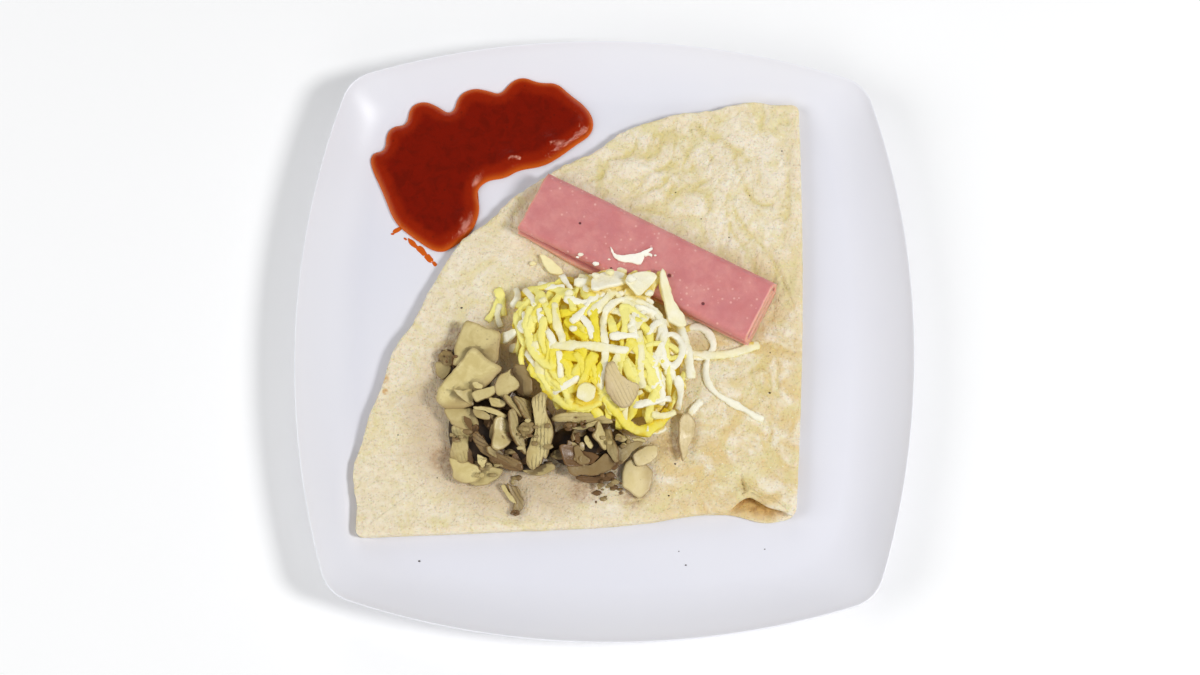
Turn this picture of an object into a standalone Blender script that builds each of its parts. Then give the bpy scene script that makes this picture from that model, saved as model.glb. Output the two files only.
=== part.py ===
"""A savory crepe served on a square coupe plate, as separate solids in metres.

The crepe is a disc folded into a quarter. On it lie a rolled slice of ham, a heap of grated
cheese and a heap of sliced mushrooms, and beside it is a puddle of tomato sauce.
The origin is at the middle of the plate's foot, on the table, with +Z up and +Y away from the
person who eats.
"""

import math
import random

import bmesh
import bpy
from mathutils import Euler, Vector, noise
from mathutils.bvhtree import BVHTree

MM = 0.001

# Plate: a coupe plate whose four sides are arcs, with a flat well and a sloping rim.
PLATE_HEIGHT = 0.021
RIM_REACH = 0.130
RIM_ARCH = 0.0185
RIM_CORNER = 0.0165
WELL_REACH = 0.105
WELL_ARCH = 0.0105
WELL_CORNER = 0.034
WELL_LEVEL = 0.0066
PLATE_WALL = 0.0042
RISE_STEPS = 5
RISE_POWER = 1.8
LIP_INNER = 0.965
LIP_MIDDLE = 0.985
LIP_ROUNDING = 0.001
FOOT_OUTER = 0.845
FOOT_INNER = 0.79
FOOT_TAPER = 0.015
REST_GAP = 0.35 * MM

# Crepe: a disc folded twice, so its apex is the disc's centre.
APEX = Vector((0.0802, -0.0774))
CREPE_RADIUS = 0.1833
RIGHT_FOLD_ANGLE = math.radians(88.9)
FRONT_FOLD_ANGLE = math.radians(183.1)
RIGHT_FOLD_BOW = 0.0022
# A dip and a bulge in the front fold, each as (depth, place from the apex, spread).
FRONT_FOLD_DIP = (0.0036, 0.036, 0.024)
LEAF_BULGE = (0.0026, 0.013, 0.007)
# The disc's ragged edge as waves, each as (height in mm, waves per radian, phase).
EDGE_RAGS = ((1.1, 11, 0), (0.8, 23, 1), (0.5, 41, 2))
CORNER_ROUNDING = 0.0055
CREPE_THICKNESS = 0.0049
RIGHT_FOLD_PUFF = 0.0016
FRONT_FOLD_PUFF = 0.0011
FOLD_PUFF_REACH = 0.014
EDGE_THINNING = 0.0011
EDGE_THINNING_REACH = 0.009
WAVE_HEIGHT = 0.0009
WAVE_SIZES = (0.026, 0.012)
CREPE_SPOKES = 96
FOLD_TO_EDGE = (0.03, 0.14)
# The gaping front corner: where it starts, is fully open, starts to close and ends, from the apex.
MOUTH_START = 0.003
MOUTH_OPEN = 0.0205
MOUTH_CLOSING = 0.0208
MOUTH_END = 0.030
MOUTH_REACH = 0.0325

# Ham: one square slice rolled up flat, seen from above as a bar.
HAM_CENTRE = Vector((0.0180, 0.0327))
HAM_HEADING = math.radians(-26.6)
HAM_LENGTH = 0.1112
HAM_THICKNESS = 0.0017
HAM_PITCH = 0.0020
HAM_FREE_EDGE = -0.0142
HAM_RIGHT_TURN = 0.0108
HAM_LEFT_TURN = -0.0112
HAM_INNER_TURN = 0.0096
HAM_INNER_END = -0.0080
HAM_FLAP = 0.0028
HAM_FLAP_PLACE = -0.022
HAM_FLAP_SPREAD = 0.024
HAM_END_SETBACK = 0.0024
HAM_BACK = 0.0145
HAM_STATIONS = 11

# Cheese: a heap of grated strands over a low core.
CHEESE_CENTRE = Vector((-0.0020, -0.0080))
CHEESE_HEADING = math.radians(-28)
CHEESE_CORE = (0.0370, 0.0265, 0.0145)
CHEESE_REACH = (0.0410, 0.0295, 0.0205)
STRAND_WIDTH = 0.0033
STRAND_HEIGHT = 0.0024
STRAND_SIDES = 4
LOOSE_STRANDS = 22
TOPPING_GAP = 0.45 * MM
CHEESE_SEED = 11
GOLDEN_ANGLE = math.pi * (3 - math.sqrt(5))

# Mushrooms: canned slices heaped round the cheese's front left.
SLICE_THICKNESS = 0.0022
HEAP_MIDDLE = Vector((-0.014, -0.018))
HEAP_SPREAD = (0.064, 0.060)
HEAP_PRESS = (0.95, 1.25)
HAM_SPREAD = (0.058, 0.018)
HAM_PRESS = (0.8, 1.5)
HAM_PRESS_SHARE = 0.75
STRAY_SLICE = (8, -25)
STRAY_LIFT = 4.4

# Sauce: a puddle of piped tomato sauce, its lobes left by the bottle's strokes.
SAUCE_HEIGHT = 0.0034
SAUCE_SMOOTHING = 2
SAUCE_SPOKES = 84
SAUCE_EDGE = ((0.0, 0.0), (0.0007, 0.22), (0.0007, 0.55), (0.0016, 0.86), (0.0036, 1.0))


def material(name, colour, roughness):
    """A Principled material of one colour."""
    made = bpy.data.materials.new(name)
    made.use_nodes = True
    shader = made.node_tree.nodes["Principled BSDF"]
    shader.inputs["Base Color"].default_value = (*colour, 1.0)
    shader.inputs["Roughness"].default_value = roughness
    return made


def object_from(name, mesh_builder, finish, smooth_angle=35):
    """Links a new object with the bmesh's shape, its normals facing out."""
    bmesh.ops.recalc_face_normals(mesh_builder, faces=mesh_builder.faces)
    if mesh_builder.calc_volume(signed=True) < 0:
        bmesh.ops.reverse_faces(mesh_builder, faces=mesh_builder.faces)
    mesh = bpy.data.meshes.new(name)
    mesh_builder.to_mesh(mesh)
    mesh_builder.free()
    mesh.materials.append(finish)
    mesh.shade_smooth()
    mesh.set_sharp_from_angle(angle=math.radians(smooth_angle))
    made = bpy.data.objects.new(name, mesh)
    bpy.context.scene.collection.objects.link(made)
    return made


def skin(rings, first_cap=True, last_cap=True):
    """A closed bmesh through rings of equally many points. A cap is a point, or True for a flat one."""
    built = bmesh.new()
    rows = [[built.verts.new(point) for point in ring] for ring in rings]
    count = len(rows[0])
    for lower, upper in zip(rows, rows[1:]):
        for i in range(count):
            j = (i + 1) % count
            built.faces.new((lower[i], lower[j], upper[j], upper[i]))
    for row, cap in ((rows[0], first_cap), (rows[-1], last_cap)):
        if cap is True:
            built.faces.new(row)
            continue
        tip = built.verts.new(cap)
        for i in range(count):
            built.faces.new((row[i], row[(i + 1) % count], tip))
    bmesh.ops.triangulate(built, faces=[f for f in built.faces if len(f.verts) > 4])
    return built


def smooth_closed(points, rounds):
    """A closed line with each corner cut, that many times over."""
    for _ in range(rounds):
        cut = []
        for a, b in zip(points, points[1:] + points[:1]):
            cut += [a.lerp(b, 0.25), a.lerp(b, 0.75)]
        points = cut
    return points


def evenly_spaced(points, count):
    """That many points at equal distances along a closed line."""
    lengths = [0.0]
    for a, b in zip(points, points[1:] + points[:1]):
        lengths.append(lengths[-1] + (b - a).length)
    spaced = []
    k = 0
    for i in range(count):
        wanted = lengths[-1] * i / count
        while lengths[k + 1] < wanted:
            k += 1
        share = (wanted - lengths[k]) / (lengths[k + 1] - lengths[k])
        spaced.append(points[k].lerp(points[(k + 1) % len(points)], share))
    return spaced


def inward_normals(points):
    """Unit vectors pointing into a closed line that runs anticlockwise."""
    normals = []
    for before, after in zip(points[-1:] + points[:-1], points[1:] + points[:1]):
        along = (after - before).normalized()
        normals.append(Vector((-along.y, along.x)))
    return normals


def squircle_reach(direction, reach, arch, corner):
    """Distance from the centre to a square outline with arched sides and round corners."""
    from_side = abs((direction + math.pi / 4) % (math.pi / 2) - math.pi / 4)
    chord = reach - arch
    radius = (chord**2 + arch**2) / (2 * arch)
    centre = reach - radius
    # The corner's circle touches both arcs from inside, with its centre on the diagonal.
    k = (centre + math.sqrt(2 * (radius - corner) ** 2 - centre**2)) / 2
    touch = math.atan2(k, k - centre)
    touch_point = (radius * math.sin(touch), centre + radius * math.cos(touch))
    if from_side <= math.atan2(*touch_point):
        across = centre * math.sin(from_side)
        return centre * math.cos(from_side) + math.sqrt(radius**2 - across**2)
    off_diagonal = math.pi / 4 - from_side
    far = k * math.sqrt(2)
    return far * math.cos(off_diagonal) + math.sqrt(corner**2 - (far * math.sin(off_diagonal)) ** 2)


def rim_reach(direction):
    return squircle_reach(direction, RIM_REACH, RIM_ARCH, RIM_CORNER)


def well_reach(direction):
    return squircle_reach(direction, WELL_REACH, WELL_ARCH, WELL_CORNER)


def rim_rise(share):
    """Height of the rim's upper face, from the well's edge at 0 to the lip at 1, in straight steps."""
    step = min(int(share * RISE_STEPS), RISE_STEPS - 1)
    low = (step / RISE_STEPS) ** RISE_POWER
    high = ((step + 1) / RISE_STEPS) ** RISE_POWER
    part = share * RISE_STEPS - step
    return WELL_LEVEL + (PLATE_HEIGHT - WELL_LEVEL) * (low + (high - low) * part)


def plate_top(x, y):
    """Height of the plate's upper face."""
    direction = math.atan2(y, x)
    well = well_reach(direction)
    share = (math.hypot(x, y) - well) / (rim_reach(direction) - well)
    return rim_rise(min(max(share, 0.0), 1.0))


def build_plate():
    """The plate as nested outlines: well, rim, lip, underside and foot ring."""
    steps = [0.0, 0.17, 0.34, 0.5, 0.64, 0.78, 0.88, 0.94, 1.0]
    octant = [math.pi / 4 * step for step in steps]
    quarter = octant + [math.pi / 2 - angle for angle in octant[-2:0:-1]]
    directions = [angle + turn * math.pi / 2 for turn in range(4) for angle in quarter]

    def ring(share, height, of_well=1.0):
        """share runs from the well's edge at 0 to the rim at 1. of_well shrinks it inside the well."""
        points = []
        for direction in directions:
            well = well_reach(direction)
            distance = (well + share * (rim_reach(direction) - well)) * of_well
            points.append((distance * math.cos(direction), distance * math.sin(direction), height))
        return points

    under = WELL_LEVEL - PLATE_WALL
    rings = [ring(0.0, WELL_LEVEL)]
    rings += [ring(k / RISE_STEPS, rim_rise(k / RISE_STEPS)) for k in range(1, RISE_STEPS)]
    rings.append(ring(LIP_INNER, PLATE_HEIGHT - LIP_ROUNDING * 0.4))
    rings.append(ring(LIP_MIDDLE, PLATE_HEIGHT))
    rings.append(ring(1.0, PLATE_HEIGHT - LIP_ROUNDING))
    rings.append(ring(LIP_MIDDLE, PLATE_HEIGHT - LIP_ROUNDING * 2.6))
    rings += [ring(share, rim_rise(share) - PLATE_WALL) for share in (0.8, 0.4)]
    rings.append(ring(0.0, under))
    rings.append(ring(0.0, under, FOOT_OUTER + FOOT_TAPER))
    rings.append(ring(0.0, 0.0, FOOT_OUTER))
    rings.append(ring(0.0, 0.0, FOOT_INNER))
    rings.append(ring(0.0, under, FOOT_INNER - FOOT_TAPER))
    built = skin(rings, (0, 0, WELL_LEVEL), (0, 0, under))
    return object_from("plate", built, material("white_glaze", (0.80, 0.80, 0.84), 0.12))


def near_heaps(x, y):
    """1 where the heaps and the ham press the crepe flat, down to 0 where it is free."""
    dx = (x - HEAP_MIDDLE.x) / HEAP_SPREAD[0]
    dy = (y - HEAP_MIDDLE.y) / HEAP_SPREAD[1]
    under_heaps = 1 - smooth_step(*HEAP_PRESS, math.hypot(dx, dy))
    along, across = ham_frame(x, y)
    from_ham = math.hypot(along / HAM_SPREAD[0], across / HAM_SPREAD[1])
    return max(under_heaps, HAM_PRESS_SHARE * (1 - smooth_step(*HAM_PRESS, from_ham)))


def smooth_step(low, high, value):
    share = min(max((value - low) / (high - low), 0.0), 1.0)
    return share * share * (3 - 2 * share)


def bump(distance, height, place, spread):
    """A round bump of that height at a place, about twice the spread wide."""
    return height * math.exp(-(((distance - place) / spread) ** 2))


def crepe_thickness(x, y):
    """Thickness of the four layers: puffed along the folds, thin at the disc's edge, wavy where free."""
    offset = Vector((x, y)) - APEX
    r = offset.length
    angle = math.atan2(offset.y, offset.x) % (2 * math.pi)
    from_right = max(r * math.sin(angle - RIGHT_FOLD_ANGLE), 0.0)
    from_front = max(r * math.sin(FRONT_FOLD_ANGLE - angle), 0.0)
    from_edge = max(CREPE_RADIUS - r, 0.0)
    free = 1 - near_heaps(x, y)
    waves = noise.noise(Vector((x, y, 0.0)) / WAVE_SIZES[0])
    waves += 0.4 * noise.noise(Vector((x, y, 0.05)) / WAVE_SIZES[1])
    return (
        CREPE_THICKNESS
        + free * RIGHT_FOLD_PUFF * math.exp(-from_right / FOLD_PUFF_REACH)
        + free * FRONT_FOLD_PUFF * math.exp(-from_front / FOLD_PUFF_REACH)
        - EDGE_THINNING * math.exp(-from_edge / EDGE_THINNING_REACH)
        + free * WAVE_HEIGHT * waves
    )


def crepe_top(x, y):
    """Height of the crepe's upper face."""
    return plate_top(x, y) + REST_GAP + crepe_thickness(x, y)


def crepe_outline():
    """The folded quarter's edge from above, anticlockwise from the apex, as evenly spaced points."""
    dense = []
    steps = 60
    right_tip = Vector((math.cos(RIGHT_FOLD_ANGLE), math.sin(RIGHT_FOLD_ANGLE)))
    front_tip = Vector((math.cos(FRONT_FOLD_ANGLE), math.sin(FRONT_FOLD_ANGLE)))
    for i in range(steps):
        share = i / steps
        bow = RIGHT_FOLD_BOW * math.sin(math.pi * share)
        dense.append(APEX + right_tip * CREPE_RADIUS * share + Vector((bow, 0.0)))
    for i in range(steps * 2):
        angle = RIGHT_FOLD_ANGLE + (FRONT_FOLD_ANGLE - RIGHT_FOLD_ANGLE) * i / (steps * 2)
        ragged = sum(height * math.sin(waves * angle + phase) for height, waves, phase in EDGE_RAGS)
        radius = CREPE_RADIUS + ragged * MM
        dense.append(APEX + Vector((math.cos(angle), math.sin(angle))) * radius)
    for i in range(steps):
        distance = CREPE_RADIUS * (1 - i / steps)
        shift = bump(distance, *FRONT_FOLD_DIP) - bump(distance, *LEAF_BULGE)
        dense.append(APEX + front_tip * distance + Vector((0.0, shift)))
    spaced = evenly_spaced(dense, CREPE_SPOKES * 4)
    spacing = (spaced[1] - spaced[0]).length
    reach = round(CORNER_ROUNDING / spacing)
    total = len(spaced)
    rounded = []
    for i in range(total):
        near = [spaced[(i + k) % total] for k in range(-reach, reach + 1)]
        rounded.append(sum(near, Vector((0.0, 0.0))) / len(near))
    return evenly_spaced(rounded, CREPE_SPOKES)


# Side profiles, bottom to top: (how far in from the outline in mm, share of the thickness).
FOLD_PROFILE = (
    (2.2, 0), (0.5, 0.10), (0, 0.25), (0.6, 0.42), (1.5, 0.50),
    (0.7, 0.58), (0, 0.74), (0.6, 0.92), (2.4, 1),
)
EDGE_PROFILE = (
    (0.8, 0), (0.1, 0.10), (0.1, 0.22), (1.2, 0.30), (1.3, 0.46),
    (1.2, 0.54), (0.5, 0.62), (0.4, 0.86), (1.6, 1),
)
MOUTH_PROFILE = (
    (1.8, 0), (0.2, 0.10), (0, 0.20), (4.6, 0.29), (11.8, 0.32),
    (12.0, 0.66), (9.0, 0.84), (8.3, 1.02), (10.4, 1.26),
)
TOP_SHARES = (0.05, 0.13, 0.24, 0.37, 0.53, 0.74)
UNDERSIDE_SHARE = 0.22


def mouth_share(point, normal):
    """How far the crepe gapes at a point of its outline, from 0 to 1."""
    ahead = APEX.x - point.x
    opened = min(max((ahead - MOUTH_START) / (MOUTH_OPEN - MOUTH_START), 0.0), 1.0) ** 0.7
    opened *= 1 - smooth_step(MOUTH_CLOSING, MOUTH_END, ahead)
    faces_away = smooth_step(0.4, 0.8, normal.y)
    return faces_away * opened if (point - APEX).length < MOUTH_REACH else 0.0


def build_crepe():
    """The quarter as rings: up the layered side, then inward over the top. The front corner gapes."""
    outline = crepe_outline()
    normals = inward_normals(outline)
    rings = [[] for _ in FOLD_PROFILE]
    for point, normal in zip(outline, normals):
        offset = point - APEX
        angle = math.atan2(offset.y, offset.x) % (2 * math.pi)
        from_folds = min(angle - RIGHT_FOLD_ANGLE, FRONT_FOLD_ANGLE - angle)
        edge = smooth_step(*FOLD_TO_EDGE, from_folds) if offset.length > CREPE_RADIUS * 0.9 else 0.0
        mouth = mouth_share(point, normal)
        inner = point + normal * 3 * MM
        thickness = crepe_thickness(inner.x, inner.y)
        profiles = zip(FOLD_PROFILE, EDGE_PROFILE, MOUTH_PROFILE)
        for ring, (fold_step, edge_step, mouth_step) in zip(rings, profiles):
            plain = Vector(fold_step).lerp(Vector(edge_step), edge)
            inset, share = plain.lerp(Vector(mouth_step), mouth)
            spot = point + normal * inset * MM
            ring.append((spot.x, spot.y, plate_top(spot.x, spot.y) + REST_GAP + thickness * share))
    middle = sum(outline, Vector((0.0, 0.0))) / len(outline)
    for share in TOP_SHARES:
        ring = []
        for x, y, _ in rings[len(FOLD_PROFILE) - 1]:
            spot = Vector((x, y)).lerp(middle, share)
            ring.append((spot.x, spot.y, crepe_top(spot.x, spot.y)))
        rings.append(ring)
    under = []
    for x, y, _ in rings[0]:
        spot = Vector((x, y)).lerp(middle, UNDERSIDE_SHARE)
        under.append((spot.x, spot.y, plate_top(spot.x, spot.y) + REST_GAP))
    rings.insert(0, under)
    tip = (middle.x, middle.y, crepe_top(middle.x, middle.y))
    base = (middle.x, middle.y, WELL_LEVEL + REST_GAP)
    built = skin(rings, base, tip)
    return object_from("crepe", built, material("crepe_pale", (0.82, 0.72, 0.46), 0.6), 40)


def ham_frame(x, y):
    """A point's place along and across the rolled slice."""
    offset = Vector((x, y)) - HAM_CENTRE
    along = Vector((math.cos(HAM_HEADING), math.sin(HAM_HEADING)))
    return offset.dot(along), offset.dot(Vector((-along.y, along.x)))


def ham_section():
    """The slice's middle line across the roll, from its free edge below to its inner end."""
    line = [Vector((HAM_FREE_EDGE, 0.0))]

    def run(start, end, level, pieces):
        """A straight piece at a level."""
        for k in range(1, pieces + 1):
            line.append(Vector((start + (end - start) * k / pieces, level * HAM_PITCH)))

    def turn(across, low, high, side, upward, pieces):
        """A half turn round a point at that side, between two levels."""
        radius = (high - low) / 2 * HAM_PITCH
        centre = (low + high) / 2 * HAM_PITCH
        for k in range(1, pieces + 1):
            angle = math.pi * k / pieces
            height = -math.cos(angle) if upward else math.cos(angle)
            line.append(Vector((across + side * radius * math.sin(angle), centre + radius * height)))

    run(HAM_FREE_EDGE, HAM_RIGHT_TURN, 0, 4)
    turn(HAM_RIGHT_TURN, 0, 3, 1, True, 7)
    run(HAM_RIGHT_TURN, HAM_LEFT_TURN, 3, 4)
    turn(HAM_LEFT_TURN, 1, 3, -1, False, 6)
    run(HAM_LEFT_TURN, HAM_INNER_TURN, 1, 3)
    turn(HAM_INNER_TURN, 1, 2, 1, True, 4)
    run(HAM_INNER_TURN, HAM_INNER_END, 2, 3)
    return line


def build_ham():
    """The rolled slice: its cross-section swept along the bar and laid on the crepe."""
    line = ham_section()
    half = HAM_THICKNESS / 2
    outer, inner = [], []
    for i, point in enumerate(line):
        before, after = line[max(i - 1, 0)], line[min(i + 1, len(line) - 1)]
        along = (after - before).normalized()
        across = Vector((-along.y, along.x)) * half
        outer.append(point - across)
        inner.append(point + across)
    section = outer + inner[::-1]
    top = HAM_PITCH * 3 + half
    direction = Vector((math.cos(HAM_HEADING), math.sin(HAM_HEADING)))
    sideways = Vector((-direction.y, direction.x))
    rings = []
    for station in range(HAM_STATIONS):
        share = station / (HAM_STATIONS - 1)
        ring = []
        for point in section:
            level = (point.y + half) / (top + half)
            length = HAM_LENGTH / 2 - HAM_END_SETBACK * level * share
            along = length * (2 * share - 1)
            flap = HAM_FLAP * math.exp(-(((along - HAM_FLAP_PLACE) / HAM_FLAP_SPREAD) ** 2))
            loose = max(0.0, 1 - level * 3) * smooth_step(0.0, HAM_FREE_EDGE, point.x)
            spot = HAM_CENTRE + direction * along + sideways * (point.x - flap * loose)
            ring.append((spot.x, spot.y, crepe_top(spot.x, spot.y) + TOPPING_GAP + half + point.y))
        rings.append(ring)
    return object_from("ham", skin(rings), material("cooked_ham", (0.78, 0.35, 0.33), 0.4), 50)


def turned(vector, angle):
    """The vector turned anticlockwise."""
    cos, sin = math.cos(angle), math.sin(angle)
    return Vector((vector.x * cos - vector.y * sin, vector.x * sin + vector.y * cos))


def dome(centre, radii, spokes=22, levels=4, sink=0.0, heading=0.0):
    """A low mound with a flat foot, standing on the flattened crepe."""
    ground = crepe_top(centre.x, centre.y) + TOPPING_GAP - sink
    rings = []
    for level in range(levels):
        lift = math.sin(math.pi / 2 * level / levels)
        spread = math.cos(math.pi / 2 * level / levels)
        ring = []
        for k in range(spokes):
            turn = 2 * math.pi * k / spokes
            spot = Vector((radii[0] * math.cos(turn), radii[1] * math.sin(turn))) * spread
            spot = centre + turned(spot, heading)
            ring.append((spot.x, spot.y, ground + (radii[2] + sink) * lift))
        rings.append(ring)
    return skin(rings, True, (centre.x, centre.y, ground + radii[2] + sink))


def smooth_open(points, rounds=2):
    """An open line with its inner corners cut, ends kept."""
    for _ in range(rounds):
        cut = [points[0]]
        for a, b in zip(points, points[1:]):
            cut += [a.lerp(b, 0.25), a.lerp(b, 0.75)]
        points = cut + [points[-1]]
    return points


def strand(points, width=STRAND_WIDTH, height=STRAND_HEIGHT, pieces=5, taper=0.55):
    """A grated strand: an oval tube along a line, narrower at its ends."""
    line = smooth_open(points)
    picked = [line[round(i * (len(line) - 1) / pieces)] for i in range(pieces + 1)]
    rings = []
    for i, point in enumerate(picked):
        before, after = picked[max(i - 1, 0)], picked[min(i + 1, pieces)]
        along = (after - before).normalized()
        side = along.cross(Vector((0, 0, 1)))
        side = side.normalized() if side.length > 1e-6 else Vector((1, 0, 0))
        rise = side.cross(along)
        share = taper if i in (0, pieces) else 1.0
        ring = []
        for k in range(STRAND_SIDES):
            angle = 2 * math.pi * (k + 0.5) / STRAND_SIDES
            across, up = math.cos(angle) * width * share, math.sin(angle) * height * share
            ring.append(point + (side * across + rise * up) / math.sqrt(2))
        rings.append(ring)
    return skin(rings)


def dome_height(x, y, radii=CHEESE_REACH):
    """How far the cheese heap stands above the crepe at a point, 0 outside it."""
    spot = turned(Vector((x, y)) - CHEESE_CENTRE, -CHEESE_HEADING)
    return radii[2] * math.sqrt(max(0.0, 1 - (spot.x / radii[0]) ** 2 - (spot.y / radii[1]) ** 2))


def ham_top(x, y):
    """Height of the ham's upper face above the crepe's at a point, 0 where there is no ham."""
    along, across = ham_frame(x, y)
    if abs(along) > HAM_LENGTH / 2 + 1.5 * MM or not HAM_FREE_EDGE - 1.5 * MM < across < HAM_BACK:
        return 0.0
    return TOPPING_GAP + HAM_PITCH * 3 + HAM_THICKNESS


def on_heap(x, y, lift=0.0):
    """A strand's middle at millimetres x and y, on the heap, or on the ham or the crepe outside it."""
    x, y = x * MM, y * MM
    floor = ham_top(x, y) + STRAND_HEIGHT / 2
    height = max(dome_height(x, y, CHEESE_CORE) + (0.4 + lift) * MM, floor)
    return Vector((x, y, crepe_top(x, y) + TOPPING_GAP + height))


# Strands that stand out by themselves, as (x, y, lift) along each, in mm.
LEAD_STRANDS = (
    ((-22, -11.5, 2.4), (-8, -10.5, 3), (10, -13.5, 2.4)),
    ((17, -18, 1.4), (4, -11, 2), (-1, 3, 1.6), (8, 12, 2), (19, 9, 2), (25, -1, 1)),
    ((21, -18, 1), (23, -4, 1.6), (32, -1, 1.4), (34, -12, 0.6), (35, -23, 0)),
    ((30, 2, 0), (41, 3.5, 1), (47.5, -4, 1.4), (41.5, -10.5, 1), (33, -10.5, 1)),
    ((33, -9.5, 0), (45, -11.5, 0), (56, -10, 0), (65.5, -5.5, 0)),
    ((43, -9.5, 0), (41.5, -20, 0), (53, -29.5, 0), (65.5, -36, 0)),
    ((-27, 12, 1), (-31, -1, 1.4), (-27, -14, 1)),
    ((-31, -16.5, 0), (-23, -26, 0), (-10, -32, 0), (3, -29.5, 0)),
    ((0, -29, 0), (7, -38, 0), (16, -41.5, 0), (26.5, -32, 0)),
    ((-36, 12, 0), (-24, 17, 0), (-6, 19, 1)),
    ((-50, 5.5, 0), (-47, 14, 0), (-39, 17, 0), (-27, 14, 0.4)),
    ((-38, 9, 0), (-41, -1, 0), (-38, -12, 0.4), (-30, -16, 0.8)),
    ((-43, -3, 0), (-37, -2, 0.6), (-33, 1, 1)),
    ((-46, 14, 0), (-44, 6, 0), (-36, 3, 0.4)),
    ((24, 26, 0), (25.5, 16, 8), (27, 8, 9), (22, -2, 2)),
    ((-9, 19, 0.6), (-1, 23, 8), (7, 23, 8), (9, 8, 1.5)),
    ((5, 10, 1.5), (12, 23, 8.6), (21, 23, 8.6), (17, 6, 1.5)),
    ((33, -19, 0), (31, -27, 0), (26, -34, 0)),
    ((12, -33, 0), (20, -30, 0.6), (28, -27, 0.4)),
    ((-16, -15, 1), (-14.5, -21, 0.6), (-14, -27, 0)),
    ((-25, -17.5, 0.6), (-14, -23, 0.9), (-5, -21, 0.8)),
    ((-6, -13, 2), (-3, -21, 1), (1, -27, 0.4)),
)


def strand_across_heap(draw, i):
    """A strand of random length and curl on the heap's surface, kept inside the heap's reach."""
    distance = math.sqrt((i + 0.5) / LOOSE_STRANDS) * 0.94
    turn = GOLDEN_ANGLE * i
    middle = Vector((CHEESE_CORE[0] * math.cos(turn), CHEESE_CORE[1] * math.sin(turn))) * distance
    heading = draw.uniform(0, 2 * math.pi)
    curl = draw.uniform(-0.9, 0.9)
    step = draw.uniform(4.5, 7.5) * MM
    lift = draw.uniform(0.2, 2.4)
    line = [Vector((0.0, 0.0))]
    for k in range(3):
        direction = heading + curl * k
        line.append(line[-1] + step * Vector((math.cos(direction), math.sin(direction))))
    centre = sum(line, Vector((0.0, 0.0))) / len(line)
    points = []
    for spot in line:
        spot = middle + spot - centre
        far = math.hypot(spot.x / CHEESE_REACH[0], spot.y / CHEESE_REACH[1])
        spot = CHEESE_CENTRE + turned(spot * min(1.0, 0.93 / max(far, 1e-6)), CHEESE_HEADING)
        points.append(on_heap(spot.x / MM, spot.y / MM, lift))
    return points


def tree_of(obj):
    """The object's surface, to test other pieces against."""
    built = bmesh.new()
    built.from_mesh(obj.data)
    found = BVHTree.FromBMesh(built)
    built.free()
    return found


def crosses(built, trees):
    """True where a piece touches any of the surfaces."""
    own = BVHTree.FromBMesh(built)
    return any(own.overlap(tree) for tree in trees)


def one_body(obj):
    """Keeps the largest body of a mesh, which drops loose scraps and fills hollows that joining sealed."""
    built = bmesh.new()
    built.from_mesh(obj.data)
    left = set(built.verts)
    bodies = []
    while left:
        found, edge = set(), [left.pop()]
        while edge:
            vert = edge.pop()
            found.add(vert)
            for link in vert.link_edges:
                other = link.other_vert(vert)
                if other in left:
                    left.remove(other)
                    edge.append(other)
        bodies.append(found)
    bodies.sort(key=len)
    for body in bodies[:-1]:
        bmesh.ops.delete(built, geom=list(body), context="VERTS")
    built.to_mesh(obj.data)
    built.free()


def fuse(core, pieces):
    """Joins the pieces to the core with one union, applied, and removes them."""
    heap = bpy.data.collections.new(core.name + "_pieces")
    bpy.context.scene.collection.children.link(heap)
    for piece in pieces:
        bpy.context.scene.collection.objects.unlink(piece)
        heap.objects.link(piece)
    union = core.modifiers.new("Join", "BOOLEAN")
    union.operation = "UNION"
    union.operand_type = "COLLECTION"
    union.collection = heap
    union.solver = "MANIFOLD"
    apply_modifiers(core)
    for piece in pieces:
        bpy.data.objects.remove(piece)
    bpy.data.collections.remove(heap)
    one_body(core)


def cut_away(obj, cutter):
    """Subtracts the cutter, applied, and removes it."""
    cut = obj.modifiers.new("Cut", "BOOLEAN")
    cut.operation = "DIFFERENCE"
    cut.object = cutter
    cut.solver = "MANIFOLD"
    apply_modifiers(obj)
    bpy.data.objects.remove(cutter)
    one_body(obj)


def apply_modifiers(obj):
    """Puts the evaluated shape in place of the object's mesh."""
    bpy.context.view_layer.update()
    graph = bpy.context.evaluated_depsgraph_get()
    made = bpy.data.meshes.new_from_object(obj.evaluated_get(graph))
    obj.modifiers.clear()
    obj.data = made


def ground_cutter():
    """All that lies lower than the flattened crepe's top, plus the gap, as a block."""
    level = crepe_top(HEAP_MIDDLE.x, HEAP_MIDDLE.y) + TOPPING_GAP
    corners = ((-0.09, -0.085), (0.06, -0.085), (0.06, 0.04), (-0.09, 0.04))
    rings = [[(x, y, z) for x, y in corners] for z in (0.0, level)]
    return object_from("ground_cutter", skin(rings), material("cutter", (1, 1, 1), 0.5))


def ham_room():
    """The room that the rolled ham takes, a little larger, as a bar."""
    half = HAM_LENGTH / 2 + 1 * MM
    front, back = HAM_FREE_EDGE - 1.5 * MM, HAM_BACK + 0.3 * MM
    top = crepe_top(*HAM_CENTRE) + 2 * TOPPING_GAP + HAM_PITCH * 3 + HAM_THICKNESS
    rings = []
    for z in (0.0, top):
        ring = []
        for along, across in ((-half, front), (half, front), (half, back), (-half, back)):
            spot = HAM_CENTRE + turned(Vector((along, across)), HAM_HEADING)
            ring.append((spot.x, spot.y, z))
        rings.append(ring)
    return object_from("ham_room", skin(rings), material("cutter", (1, 1, 1), 0.5))


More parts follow.
